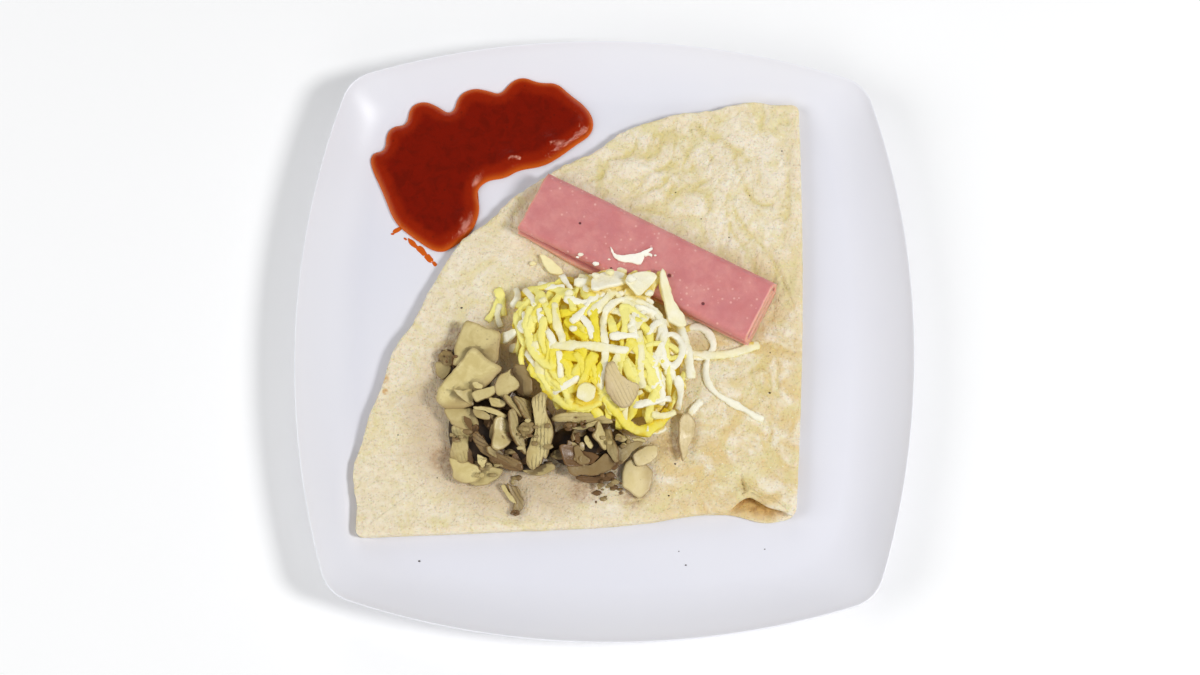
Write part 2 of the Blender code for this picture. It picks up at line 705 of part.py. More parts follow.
def build_cheese(neighbours):
    """The grated heap: a core with the strands that show joined to it."""
    finish = material("cheese_yellow", (0.90, 0.80, 0.30), 0.4)
    core = object_from("cheese", dome(CHEESE_CENTRE, CHEESE_CORE, heading=CHEESE_HEADING), finish)
    trees = [tree_of(neighbour) for neighbour in neighbours]
    draw = random.Random(CHEESE_SEED)
    pieces = []
    lines = [[on_heap(*point) for point in lead] for lead in LEAD_STRANDS]
    lines += [strand_across_heap(draw, i) for i in range(LOOSE_STRANDS)]
    for line in lines:
        margin = 1.2 * TOPPING_GAP
        fat = strand(line, STRAND_WIDTH + margin, STRAND_HEIGHT + margin)
        blocked = crosses(fat, trees)
        fat.free()
        if not blocked:
            pieces.append(object_from("strand", strand(line), finish))
    cut_away(core, ham_room())
    fuse(core, pieces)
    return core


BLOCK_POWER = 0.55
BLOCK_DEPTH = 0.78
LEAF_DEPTH = 0.72
LEAF_BEND = 0.16
CAP_DEPTH = 0.85
STEM_SHARE = 0.30


def squared(value):
    """A sine or cosine drawn out towards 1, which turns a circle into a rounded square."""
    return math.copysign(abs(value) ** BLOCK_POWER, value)


def slice_outline(kind, width, count=10):
    """A mushroom slice's outline: a cap with its stem, a bare cap, or a broken piece, round or square."""
    half = width / 2
    if kind == "block":
        turns = [2 * math.pi * (k + 0.5) / count for k in range(count)]
        deep = half * BLOCK_DEPTH
        return [Vector((half * squared(math.cos(a)), deep * squared(math.sin(a)))) for a in turns]
    if kind == "leaf":
        points = []
        for k in range(count):
            angle = 2 * math.pi * k / count
            x = half * math.cos(angle) * (1 + LEAF_BEND * math.sin(3 * angle))
            y = half * LEAF_DEPTH * math.sin(angle) * (1 - LEAF_BEND * math.cos(2 * angle))
            points.append(Vector((x, y)))
        return points
    arc = [math.pi * k / (count - 4) for k in range(count - 3)]
    cap = [Vector((half * math.cos(a), half * CAP_DEPTH * math.sin(a))) for a in arc]
    if kind == "cap":
        return cap + [Vector((-half * 0.45, half * 0.22)), Vector((half * 0.45, half * 0.22))]
    stem = half * STEM_SHARE
    foot = -half * CAP_DEPTH
    return cap + [
        Vector((-stem * 1.3, half * 0.12)),
        Vector((-stem, foot)),
        Vector((stem, foot)),
        Vector((stem * 1.3, half * 0.12)),
    ]


def mushroom_slice(kind, width, thickness=SLICE_THICKNESS, cup=0.10):
    """A slice lying flat, cupped a little along its length."""
    middle = {"cap": 0.25, "whole": 0.14}.get(kind, 0.0) * width
    rings = []
    for side in (-1, 1):
        ring = []
        for point in slice_outline(kind, width):
            lift = cup * point.x**2 / (width / 2)
            ring.append(Vector((point.x, point.y, side * thickness / 2 + lift)))
        rings.append(ring)
    return skin(rings, (0, middle, -thickness / 2), (0, middle, thickness / 2))


def place(built, x, y, lift, heading, tip, roll):
    """Turns a piece by its heading, tip and roll in degrees and sets it over the crepe, in mm."""
    turn = Euler([math.radians(a) for a in (tip, roll, heading)], "XYZ").to_matrix().to_4x4()
    turn.translation = Vector((x * MM, y * MM, crepe_top(x * MM, y * MM) + TOPPING_GAP + lift * MM))
    bmesh.ops.transform(built, matrix=turn, verts=built.verts)
    return built


# The heap's slices, as (kind, width, x, y, lift, heading, tip, roll), in mm and degrees.
HEAP_SLICES = (
    ("block", 20, -52.5, -4.5, 6.0, -8, 9, 10),
    ("leaf", 30, -57.5, -18.5, 7.4, 35, -6, 12),
    ("block", 22, -61.5, -33, 5.0, 66, 6, 10),
    ("block", 18, -60.5, -48, 4.6, 86, 14, 0),
    ("leaf", 22, -55, -57.5, 4.0, 5, 14, 6),
    ("leaf", 22, -46, -22.5, 10.2, 18, 16, 0),
    ("leaf", 12, -58, -27, 8.8, -30, 10, 0),
    ("leaf", 18, -35, -22.5, 6.8, -58, 34, 0),
    ("cap", 15, -48, -34, 9.8, -12, 62, 0),
    ("cap", 28, -27, -42.5, 9.2, -84, 58, 0),
    ("cap", 24, -36, -42, 8.2, -68, 66, 0),
    ("cap", 16, -33, -33, 8.6, -62, 62, 0),
    ("leaf", 25, -43, -52, 6.0, -32, 30, 0),
    ("cap", 16, -43.5, -43.5, 8.2, 88, 50, 0),
    ("leaf", 14, -26, -59, 3.8, 5, 20, 0),
    ("cap", 27, -9, -38.6, 6.6, -4, 66, 0),
    ("whole", 24, -8, -53, 6.2, 30, 35, 0),
    ("cap", 20, -15, -50, 6.0, -40, 50, 0),
    ("cap", 16, 1, -45.5, 8.0, -62, 64, 0),
    ("cap", 18, 10, -45, 6.6, -8, 62, 0),
    ("cap", 16, 11.5, -50, 4.8, 14, 60, 0),
    ("leaf", 14, -3, -60.5, 3.6, 10, 24, 0),
    ("leaf", 16, 3, -54.5, 5.2, 30, 20, 0),
    ("leaf", 14, -21, -38, 7.0, -30, 40, 0),
    ("leaf", 16, -31.5, -29, 7.0, -40, 20, 0),
)
HEAP_MOUNDS = (
    (Vector((-0.0570, -0.0170)), (0.0100, 0.0140, 0.0052)),
    (Vector((-0.0520, -0.0410)), (0.0130, 0.0190, 0.0078)),
    (Vector((-0.0330, -0.0430)), (0.0140, 0.0160, 0.0080)),
    (Vector((-0.0070, -0.0480)), (0.0200, 0.0110, 0.0066)),
)


def cheese_envelope():
    """The room that the cheese heap takes, a little larger, to cut from the mushrooms."""
    radii = [reach + 2 * TOPPING_GAP for reach in CHEESE_REACH]
    shape = dome(CHEESE_CENTRE, radii, 28, 6, 6 * MM, CHEESE_HEADING)
    return object_from("envelope", shape, material("cutter", (1, 1, 1), 0.5))


def build_mushrooms():
    """The heap of slices round the cheese's front and left: low mounds with the slices joined on."""
    finish = material("mushroom_flesh", (0.62, 0.54, 0.34), 0.5)
    mounds = []
    for centre, radii in HEAP_MOUNDS:
        mounds.append(object_from("mushrooms", dome(centre, radii, 14, 3, 2 * MM), finish))
    core = mounds[0]
    pieces = mounds[1:]
    for kind, width, *spot in HEAP_SLICES:
        pieces.append(object_from("slice", place(mushroom_slice(kind, width * MM), *spot), finish, 30))
    fuse(core, pieces)
    cut_away(core, ground_cutter())
    cut_away(core, cheese_envelope())
    core.name = "mushrooms"
    return core


def rest(built, base=0.0):
    """Lowers or lifts a piece until its lowest point is the gap above the crepe, or above a base on it."""
    lowest = min(vert.co.z - crepe_top(vert.co.x, vert.co.y) for vert in built.verts)
    bmesh.ops.translate(built, vec=(0, 0, TOPPING_GAP + base - lowest), verts=built.verts)
    return built


def build_loose_slices():
    """The slices that lie by themselves on the crepe."""
    finish = material("mushroom_pale", (0.80, 0.72, 0.50), 0.5)
    loose = (
        ("mushroom_round", "leaf", 17, 15, -62.5, 0, 70, 5, 0),
        ("mushroom_sliver", "cap", 18, 33.5, -43, 0, -82, 38, 0),
        ("mushroom_front", "cap", 13, -36.5, -72, 0, -52, 40, 0),
        ("mushroom_chip", "leaf", 9, -70, -12, 0, 40, 10, 0),
    )
    made = []
    for name, kind, width, *spot in loose:
        shape = rest(place(mushroom_slice(kind, width * MM), *spot))
        made.append(object_from(name, shape, finish, 30))
    return made


def build_cheese_bits():
    """A flake of cheese on the ham, and a grain on the crepe by the ham's end."""
    finish = material("cheese_white", (0.93, 0.92, 0.84), 0.4)
    shapes = {
        "cheese_flake": (((2.5, 37, 0), (6, 32, 0), (14, 31, 0), (20, 34.5, 0)), 4.0, 1.3, True),
        "cheese_grain": (((-29.5, 30.5, 0), (-26, 27.5, 0), (-22.5, 24.5, 0)), 3.6, 2.2, False),
    }
    made = []
    for name, (points, width, height, on_ham) in shapes.items():
        line = [Vector((x * MM, y * MM, crepe_top(x * MM, y * MM))) for x, y, _ in points]
        shape = strand(line, width * MM, height * MM)
        base = ham_top(line[1].x, line[1].y) if on_ham else 0.0
        made.append(object_from(name, rest(shape, base), finish))
    return made


# The puddle's edge in mm, clockwise from its tail nearest the crepe. Each dent parts two lobes.
SAUCE_OUTLINE = (
    (-72, 35.5), (-84, 43.5), (-92, 50), (-97, 63), (-104, 77), (-102, 82.5), (-97, 83), (-97, 91),
    (-93, 95), (-88, 95), (-87, 103), (-81, 106), (-75, 104.5), (-68, 100), (-66, 108.5), (-59, 112),
    (-52, 110.5), (-46.5, 108), (-43.5, 115), (-37, 117), (-30, 114.5), (-22, 115), (-16, 110),
    (-9, 105), (-5, 98), (-6.5, 91), (-13, 86.5), (-21, 80), (-28, 76), (-38, 74.5), (-44, 70.5),
    (-51, 69.5), (-55, 63), (-53.5, 55), (-57, 46.5), (-64, 40),
)


def build_sauce():
    """The puddle of sauce: its outline drawn in a little at each height, round at the edge."""
    corners = [Vector((x * MM, y * MM)) for x, y in reversed(SAUCE_OUTLINE)]
    outline = evenly_spaced(smooth_closed(corners, SAUCE_SMOOTHING), SAUCE_SPOKES)
    normals = inward_normals(outline)
    rings = []
    for inset, share in SAUCE_EDGE:
        ring = []
        for point, normal in zip(outline, normals):
            spot = point + normal * (inset + 0.0004)
            ring.append((spot.x, spot.y, plate_top(spot.x, spot.y) + REST_GAP + SAUCE_HEIGHT * share))
        rings.append(ring)
    return object_from("sauce", skin(rings), material("tomato_sauce", (0.42, 0.03, 0.01), 0.15), 60)


def build_mushroom_on_cheese():
    """One slice that landed on the cheese."""
    finish = material("mushroom_stray", (0.75, 0.62, 0.48), 0.5)
    x, y = STRAY_SLICE
    height = dome_height(x * MM, y * MM, CHEESE_CORE) / MM + STRAY_LIFT
    built = place(mushroom_slice("block", 16 * MM), x, y, height, 70, -10, -20)
    return object_from("mushroom_on_cheese", built, finish, 30)


def main():
    for obj in list(bpy.data.objects):
        bpy.data.objects.remove(obj)
    build_plate()
    build_crepe()
    ham = build_ham()
    mushrooms = build_mushrooms()
    build_sauce()
    loose = build_loose_slices()
    bits = build_cheese_bits()
    stray = build_mushroom_on_cheese()
    build_cheese([ham, mushrooms, stray, *loose, *bits])


main()
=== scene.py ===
# %% [markdown]
# # A savory crepe on its plate
# This lesson dresses a plain solid model of a folded crepe. The plate, the crepe, the ham, the
# cheese, the mushrooms and the sauce each become a finer mesh with a material of their own.
# Every piece stays where its solid is, so the finished dish keeps the real one's measurements.

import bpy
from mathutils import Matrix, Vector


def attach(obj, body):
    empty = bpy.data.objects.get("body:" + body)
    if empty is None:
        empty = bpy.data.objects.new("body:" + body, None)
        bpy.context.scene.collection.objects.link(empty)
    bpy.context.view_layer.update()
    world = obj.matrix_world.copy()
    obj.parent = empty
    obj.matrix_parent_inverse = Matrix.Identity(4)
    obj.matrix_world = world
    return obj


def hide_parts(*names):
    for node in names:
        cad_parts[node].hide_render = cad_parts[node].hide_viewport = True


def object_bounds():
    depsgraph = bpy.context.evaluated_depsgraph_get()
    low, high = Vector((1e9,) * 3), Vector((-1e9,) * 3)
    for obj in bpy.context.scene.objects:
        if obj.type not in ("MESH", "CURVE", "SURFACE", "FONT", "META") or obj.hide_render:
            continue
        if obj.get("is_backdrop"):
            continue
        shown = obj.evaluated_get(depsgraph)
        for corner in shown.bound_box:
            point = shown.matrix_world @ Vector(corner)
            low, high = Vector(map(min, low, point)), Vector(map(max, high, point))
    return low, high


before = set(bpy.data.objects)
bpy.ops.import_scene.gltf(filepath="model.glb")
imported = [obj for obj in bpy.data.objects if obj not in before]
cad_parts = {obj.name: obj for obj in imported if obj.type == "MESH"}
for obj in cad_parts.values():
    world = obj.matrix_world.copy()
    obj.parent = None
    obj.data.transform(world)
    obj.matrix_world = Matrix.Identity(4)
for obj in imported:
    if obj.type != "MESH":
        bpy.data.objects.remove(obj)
solid_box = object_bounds()
print("solid nodes:", ", ".join(sorted(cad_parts)))

# %% [markdown]
# ## Tools that every piece uses
# All lengths are in metres, and MM turns a number of millimetres into metres. A dish like this is
# made of many small bodies of one kind, such as strands or slices. They are gathered in a Batch and
# become one mesh, which is quicker to load and to render than hundreds of objects. A mark is a
# number stored with every point, such as how deep it lies, which a material can read.

# %% Gather small bodies in one mesh
import math
import random

import bmesh
import bpy
import numpy as np
from mathutils import Matrix, Vector, geometry, noise

MM = 0.001


class Batch:
    """Points and faces of many bodies, with marks for the points."""

    def __init__(self):
        self.points, self.faces, self.marks = [], [], {}

    def add(self, points, faces, **marks):
        start = len(self.points)
        self.points += [tuple(point) for point in points]
        self.faces += [[i + start for i in face] for face in faces]
        for name, values in marks.items():
            if not isinstance(values, (list, tuple)):
                values = [values] * len(points)
            self.marks.setdefault(name, [0.0] * start)
            missing = start - len(self.marks[name])
            self.marks[name] += [0.0] * missing + list(values)
        return self

    def piece(self, name, finish, slot, *nodes):
        """Makes the object, puts it on the dish and hides the solids that it stands for."""
        mesh = bpy.data.meshes.new(name)
        mesh.from_pydata(self.points, [], self.faces)
        tidy = bmesh.new()
        tidy.from_mesh(mesh)
        bmesh.ops.recalc_face_normals(tidy, faces=tidy.faces)
        tidy.to_mesh(mesh)
        tidy.free()
        for mark, values in self.marks.items():
            layer = mesh.attributes.new(mark, "FLOAT", "POINT")
            missing = len(self.points) - len(values)
            layer.data.foreach_set("value", values + [0.0] * missing)
        mesh.materials.append(finish.material)
        mesh.shade_smooth()
        made = bpy.data.objects.new(name, mesh)
        bpy.context.scene.collection.objects.link(made)
        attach(made, "root")
        if nodes:
            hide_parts(*nodes)
        print(f"{name}: {len(mesh.polygons)} faces, {len(self.points)} points")
        return made


# %% [markdown]
# ## Lines and rings
# Most pieces of food are soft bodies without a sharp corner. A rounded outline comes from cutting
# its corners a few times over, and a body comes from skinning a row of rings, which is what the
# Bridge Edge Loops tool does by hand.

# %% Round a line and skin rings
def cut_corners(points, rounds, closed=True, share=0.25):
    """The line with each corner cut off, as many times over as there are rounds."""
    for _ in range(rounds):
        ends = points[1:] + points[:1] if closed else points[1:]
        cut = [] if closed else [points[0]]
        for a, b in zip(points, ends):
            cut += [a.lerp(b, share), a.lerp(b, 1 - share)]
        points = cut if closed else cut + [points[-1]]
    return points


def evenly_spaced(points, count, closed=True):
    """That many points at equal distances along the line."""
    ring = points + points[:1] if closed else points
    lengths = [0.0]
    for a, b in zip(ring, ring[1:]):
        lengths.append(lengths[-1] + (b - a).length)
    parts = count if closed else count - 1
    spaced = []
    k = 0
    for i in range(count):
        wanted = lengths[-1] * i / parts
        while k < len(ring) - 2 and lengths[k + 1] < wanted:
            k += 1
        share = (wanted - lengths[k]) / max(lengths[k + 1] - lengths[k], 1e-9)
        spaced.append(ring[k].lerp(ring[k + 1], min(share, 1.0)))
    return spaced


def inward_normals(points):
    """Unit vectors into a closed line that runs anticlockwise."""
    normals = []
    for before, after in zip(points[-1:] + points[:-1], points[1:] + points[:1]):
        along = (after - before).normalized()
        normals.append(Vector((-along.y, along.x)))
    return normals


def skin(rings, caps=(True, True)):
    """Points and faces through rings of equally many points, with a fan over each end."""
    count = len(rings[0])
    points = [tuple(point) for ring in rings for point in ring]
    faces = []
    for row in range(len(rings) - 1):
        for i in range(count):
            j = (i + 1) % count
            low, high = row * count, (row + 1) * count
            faces.append([low + i, low + j, high + j, high + i])
    for row, cap in ((0, caps[0]), (len(rings) - 1, caps[1])):
        if cap is False:
            continue
        tip = len(points)
        ring = [Vector(point) for point in rings[row]]
        points.append(tuple(sum(ring, Vector((0, 0, 0))) / count if cap is True else cap))
        faces += [[row * count + i, row * count + (i + 1) % count, tip] for i in range(count)]
    return points, faces


def dome(levels, spokes):
    """Rings of half a ball of radius 1, from its foot up: each one's height and its places."""
    for level in range(levels):
        lift = math.sin(math.pi / 2 * level / levels)
        spread = math.cos(math.pi / 2 * level / levels)
        turns = [2 * math.pi * k / spokes for k in range(spokes)]
        yield lift, [(spread * math.cos(turn), spread * math.sin(turn)) for turn in turns]


def smooth_step(low, high, value):
    """0 at low, 1 at high and a soft step between them."""
    share = min(max((value - low) / (high - low), 0.0), 1.0)
    return share * share * (3 - 2 * share)


def turned(vector, angle):
    """The vector turned anticlockwise."""
    cos, sin = math.cos(angle), math.sin(angle)
    return Vector((vector.x * cos - vector.y * sin, vector.x * sin + vector.y * cos))


def heading_of(angle):
    """The unit vector that points that way."""
    return Vector((math.cos(angle), math.sin(angle)))


def rough(x, y, size, seed=0.0):
    """Smooth noise between about -1 and 1, whose bumps are that wide."""
    return noise.noise(Vector((x / size, y / size, seed)))


# %% [markdown]
# ## Materials written as sums
# A material in Blender is a graph of nodes. Written out node by node it is long, so a Wire stands
# for one node's output, and a sum of wires adds the Math nodes for it. A Finish is one material: it
# makes any other node from its type, its settings and the values of its sockets.

# %% A wire, and a finish that makes nodes
class Wire:
    """One output of a node, usable in a sum."""

    def __init__(self, finish, socket):
        self.finish, self.socket = finish, socket

    def maths(self, operation, first, second):
        settings = {"operation": operation, "use_clamp": False}
        return self.finish.node("Math", settings, {0: first, 1: second})

    def __add__(self, other):
        return self.maths("ADD", self, other)

    def __sub__(self, other):
        return self.maths("SUBTRACT", self, other)

    def __mul__(self, other):
        return self.maths("MULTIPLY", self, other)

    def __rsub__(self, other):
        return self.maths("SUBTRACT", other, self)

    __radd__ = __add__
    __rmul__ = __mul__


class Finish:
    """One material and the nodes in it."""

    def __init__(self, name, **fixed):
        self.material = bpy.data.materials.new(name)
        self.material.use_nodes = True
        self.tree = self.material.node_tree
        self.shader = self.tree.nodes["Principled BSDF"]
        for socket, value in fixed.items():
            self.shader.inputs[socket.replace("_", " ")].default_value = value

    def node(self, kind, settings=None, values=None, out=0):
        made = self.tree.nodes.new("ShaderNode" + kind)
        for setting, value in (settings or {}).items():
            setattr(made, setting, value)
        for socket, value in (values or {}).items():
            if isinstance(value, Wire):
                self.tree.links.new(value.socket, made.inputs[socket])
            else:
                made.inputs[socket].default_value = value
        return Wire(self, made.outputs[out])

    def place(self):
        """Where a point of the surface is, in metres."""
        return self.node("TexCoord", out="Object")

    def cloud(self, size, detail=3, roughness=0.5, warp=0.0):
        """Soft patches of that size in mm, around 0.5."""
        values = {"Vector": self.place(), "Scale": 1000 / size, "Detail": detail}
        values |= {"Roughness": roughness, "Distortion": warp}
        return self.node("TexNoise", {"noise_dimensions": "3D"}, values)

    def cells(self, size):
        """Distance from the nearest of many scattered points about that many mm apart."""
        values = {"Vector": self.place(), "Scale": 1000 / size}
        return self.node("TexVoronoi", {"feature": "F1"}, values)

    def mark(self, name):
        """A number that was stored with the mesh's points."""
        return self.node("Attribute", {"attribute_name": name}, out="Fac")

    def each(self):
        """A random number for each separate body in the mesh."""
        return self.node("NewGeometry", out="Random Per Island")

    def between(self, value, low, high):
        """0 at low, 1 at high and a soft step between them."""
        values = {"Value": value, "From Min": low, "From Max": high}
        return self.node("MapRange", {"interpolation_type": "SMOOTHSTEP", "clamp": True}, values)

    def near(self, spot, radius):
        """1 at a spot given in mm, down to 0 at that many mm from it."""
        centre = [c * MM for c in spot]
        values = {0: self.place(), 1: centre}
        gap = self.node("VectorMath", {"operation": "DISTANCE"}, values, out="Value")
        return 1 - self.between(gap, radius * 0.45 * MM, radius * MM)

    def mix(self, share, first, second):
        """The first colour where share is 0 and the second where it is 1."""
        colours = {}
        for socket, colour in ((6, first), (7, second)):
            colours[socket] = colour if isinstance(colour, Wire) else rgb(*colour)
        settings = {"data_type": "RGBA", "clamp_factor": True}
        return self.node("Mix", settings, {0: share, **colours}, out=2)

    def relief(self, height, depth, under=None):
        """A bump of that many mm, on top of another one."""
        values = {"Height": height, "Distance": depth * MM, "Strength": 1.0}
        if under:
            values["Normal"] = under
        return self.node("Bump", {}, values)

    def wear(self, colour=None, roughness=None, relief=None, glow=None):
        """Joins the colour, roughness, relief and the colour of the glow to the shader."""
        joined = {"Base Color": colour, "Roughness": roughness, "Normal": relief}
        joined["Emission Color"] = glow
        for socket, wire in joined.items():
            if wire:
                self.tree.links.new(wire.socket, self.shader.inputs[socket])
        print(f"{self.material.name}: {len(self.tree.nodes)} nodes")
        return self


def rgb(red, green, blue):
    """A colour as seen on a screen, 0 to 255, turned into the light it stands for."""
    shares = [c / 255 for c in (red, green, blue)]
    linear = [c / 12.92 if c <= 0.04045 else ((c + 0.055) / 1.055) ** 2.4 for c in shares]
    return (*linear, 1.0)


# %% [markdown]
# ## The plate
# The real plate is pressed porcelain with a clear glossy glaze: a square with arched sides and
# round corners, flat in the middle and gently upturned to a thin rounded lip, on a foot ring. It
# could be a subdivided box, but then the corners would need sculpting. One formula for how far the
# outline reaches in each direction gives every ring of the plate at once, and rings nested from the
# well to the foot give the body.

# %% How far the plate reaches in each direction
PLATE_HEIGHT = 0.021
WELL_LEVEL = 0.0066
PLATE_WALL = 0.0042
REST_GAP = 0.35 * MM
RIM_REACH, RIM_ARCH, RIM_CORNER = 0.130, 0.0185, 0.0165
WELL_REACH, WELL_ARCH, WELL_CORNER = 0.105, 0.0105, 0.034
RISE_POWER = 1.8


def square_reach(direction, reach, arch, corner):
    """Distance from the middle to a square with arched sides and round corners."""
    from_side = abs((direction + math.pi / 4) % (math.pi / 2) - math.pi / 4)
    chord = reach - arch
    radius = (chord**2 + arch**2) / (2 * arch)
    centre = reach - radius
    k = (centre + math.sqrt(2 * (radius - corner) ** 2 - centre**2)) / 2
    touch = math.atan2(k, k - centre)
    touch_point = (radius * math.sin(touch), centre + radius * math.cos(touch))
    if from_side <= math.atan2(*touch_point):
        across = centre * math.sin(from_side)
        return centre * math.cos(from_side) + math.sqrt(radius**2 - across**2)
    off_diagonal = math.pi / 4 - from_side
    far = k * math.sqrt(2)
    across = far * math.sin(off_diagonal)
    return far * math.cos(off_diagonal) + math.sqrt(corner**2 - across**2)


def rim_reach(direction):
    return square_reach(direction, RIM_REACH, RIM_ARCH, RIM_CORNER)


def well_reach(direction):
    return square_reach(direction, WELL_REACH, WELL_ARCH, WELL_CORNER)


def rim_rise(share):
    """Height of the rim's upper face, from the well's edge at 0 to the lip at 1."""
    return WELL_LEVEL + (PLATE_HEIGHT - WELL_LEVEL) * share**RISE_POWER


def plate_top(x, y):
    """Height of the plate's upper face at a point."""
    direction = math.atan2(y, x)
    well = well_reach(direction)
    share = (math.hypot(x, y) - well) / (rim_reach(direction) - well)
    return rim_rise(min(max(share, 0.0), 1.0))


print("plate side:", round(2 * rim_reach(0.0) / MM, 1), "mm")
print("corner reach:", round(rim_reach(math.pi / 4) / MM, 1), "mm")

# %% [markdown]
# ## White glaze
# Glazed porcelain is a pale body under a thin coat of glass. A soft shine is enough here, because
# the photograph shows hardly any reflection. Glaze pools and thins a little, so its roughness
# drifts, and a very low relief breaks up the shine as on a real plate. The white leans a little to
# blue. Towards the lip it is painted lighter, to make up for the shade that falls on the sloping rim.

# %% Mix the glaze
glaze = Finish("white glaze", Specular_IOR_Level=0.40, Coat_Weight=0.06, Coat_Roughness=0.30)
pool = glaze.cloud(38, 2)
body = glaze.mix(pool, (227, 227, 236), (231, 231, 238))
# painted light: the glaze is lightened towards the lip, to make up for the shade on the sloping rim
body = glaze.mix(glaze.mark("rim"), body, (249, 249, 254))
glaze.wear(body, 0.32 + 0.08 * pool, glaze.relief(glaze.cloud(16, 2), 0.02))

# %% Build the plate
PLATE_SPOKES = 288


def plate_ring(share, height, of_well=1.0):
    """A ring at a share of the way from the well's edge, at 0, to the lip, at 1."""
    ring = []
    for k in range(PLATE_SPOKES):
        direction = 2 * math.pi * k / PLATE_SPOKES
        well = well_reach(direction)
        distance = (well + share * (rim_reach(direction) - well)) * of_well
        ring.append((distance * math.cos(direction), distance * math.sin(direction), height))
    return ring


under = WELL_LEVEL - PLATE_WALL
LIP = (
    (0.966, 0.55), (0.98, 0.12), (0.99, 0.0), (0.996, 0.3), (1.0, 1.0), (0.998, 1.7), (0.985, 2.5),
)
FOOT = (
    (0.875, under), (0.862, under - 0.4 * MM), (0.85, 0.8 * MM), (0.843, 0.2 * MM), (0.834, 0.0),
    (0.801, 0.0), (0.792, 0.2 * MM), (0.786, 0.8 * MM), (0.776, under - 0.3 * MM), (0.76, under),
)
WELL_RINGS, RIM_RINGS, LIGHTENED_RINGS = 4, 14, 21
rings = [plate_ring(0.0, WELL_LEVEL, of_well) for of_well in (0.2, 0.45, 0.7, 0.9)]
rings += [plate_ring(k / RIM_RINGS, rim_rise(k / RIM_RINGS)) for k in range(RIM_RINGS)]
rings += [plate_ring(share, PLATE_HEIGHT - drop * MM) for share, drop in LIP]
for share in (0.9, 0.75, 0.6, 0.45, 0.3, 0.15, 0.0):
    rings.append(plate_ring(share, rim_rise(share) - PLATE_WALL))
rings += [plate_ring(0.0, height, of_well) for of_well, height in FOOT]
# The rim mark rises from 0 at the well's edge to 1 at the lip and drives the painted light.
rim_light_marks = [0.0] * PLATE_SPOKES * WELL_RINGS
rim_light_marks += [k / (LIGHTENED_RINGS - 1) for k in range(LIGHTENED_RINGS) for _ in range(PLATE_SPOKES)]
rim_light_marks += [0.0] * (PLATE_SPOKES * (len(rings) - WELL_RINGS - LIGHTENED_RINGS) + 2)
plate = Batch().add(*skin(rings, ((0, 0, WELL_LEVEL), (0, 0, under))), rim=rim_light_marks)
plate.piece("plate_glazed", glaze, "white_glaze", "plate")

# %% [markdown]
# ## The folded crepe
# A crepe is a thin disc of batter. This one is folded in half and in half again, so it is a quarter
# of a disc with four layers: two straight sides that are folds and one round side with four free
# edges. Where nothing presses on it, it is puffed and wrinkled. A cloth simulation could fold a
# disc, but the result would not keep to this outline. So the outline is drawn, the layered side is
# a profile carried along it, and the top is a fine grid whose height is a sum of wrinkles.

# %% Where the crepe lies and how thick it is
APEX = Vector((0.0802, -0.0774))
CREPE_RADIUS = 0.1833
CREPE_THICKNESS = 4.9 * MM
EDGE_THINNING = 1.1 * MM
RIGHT_PUFF, FRONT_PUFF, WAVE_HEIGHT = 1.6 * MM, 1.1 * MM, 0.9 * MM
RIGHT_FOLD_ANGLE = math.radians(88.9)
FRONT_FOLD_ANGLE = math.radians(183.1)
HAM_CENTRE = Vector((0.0180, 0.0327))
HAM_HEADING = math.radians(-26.6)
HEAP_MIDDLE, HEAP_SPREAD = (-0.014, -0.018), (0.064, 0.060)
HAM_SPREAD = (0.058, 0.018)


def ham_frame(x, y):
    """A point's place along and across the rolled ham."""
    offset = Vector((x, y)) - HAM_CENTRE
    along = heading_of(HAM_HEADING)
    return offset.dot(along), offset.dot(Vector((-along.y, along.x)))


def pressed(x, y):
    """1 where the toppings press the crepe flat, down to 0 where it is free."""
    far = math.hypot((x - HEAP_MIDDLE[0]) / HEAP_SPREAD[0], (y - HEAP_MIDDLE[1]) / HEAP_SPREAD[1])
    along, across = ham_frame(x, y)
    from_ham = math.hypot(along / HAM_SPREAD[0], across / HAM_SPREAD[1])
    under_ham = 1 - smooth_step(0.8, 1.5, from_ham)
    return max(1 - smooth_step(0.95, 1.25, far), 0.75 * under_ham)


def crepe_thickness(x, y):
    """The four layers together: full at the folds, thin at the round edge, wavy where free."""
    offset = Vector((x, y)) - APEX
    r = offset.length
    angle = math.atan2(offset.y, offset.x) % (2 * math.pi)
    from_right = max(r * math.sin(angle - RIGHT_FOLD_ANGLE), 0.0)
    from_front = max(r * math.sin(FRONT_FOLD_ANGLE - angle), 0.0)
    from_edge = max(CREPE_RADIUS - r, 0.0)
    free = 1 - pressed(x, y)
    waves = noise.noise(Vector((x, y, 0.0)) / 0.026)
    waves += 0.4 * noise.noise(Vector((x, y, 0.05)) / 0.012)
    puff = RIGHT_PUFF * math.exp(-from_right / 0.014) + FRONT_PUFF * math.exp(-from_front / 0.014)
    thinned = EDGE_THINNING * math.exp(-from_edge / 0.009)
    return CREPE_THICKNESS + free * (puff + WAVE_HEIGHT * waves) - thinned


def crepe_top(x, y):
    """Height of the crepe's upper face, before its wrinkles."""
    return plate_top(x, y) + REST_GAP + crepe_thickness(x, y)


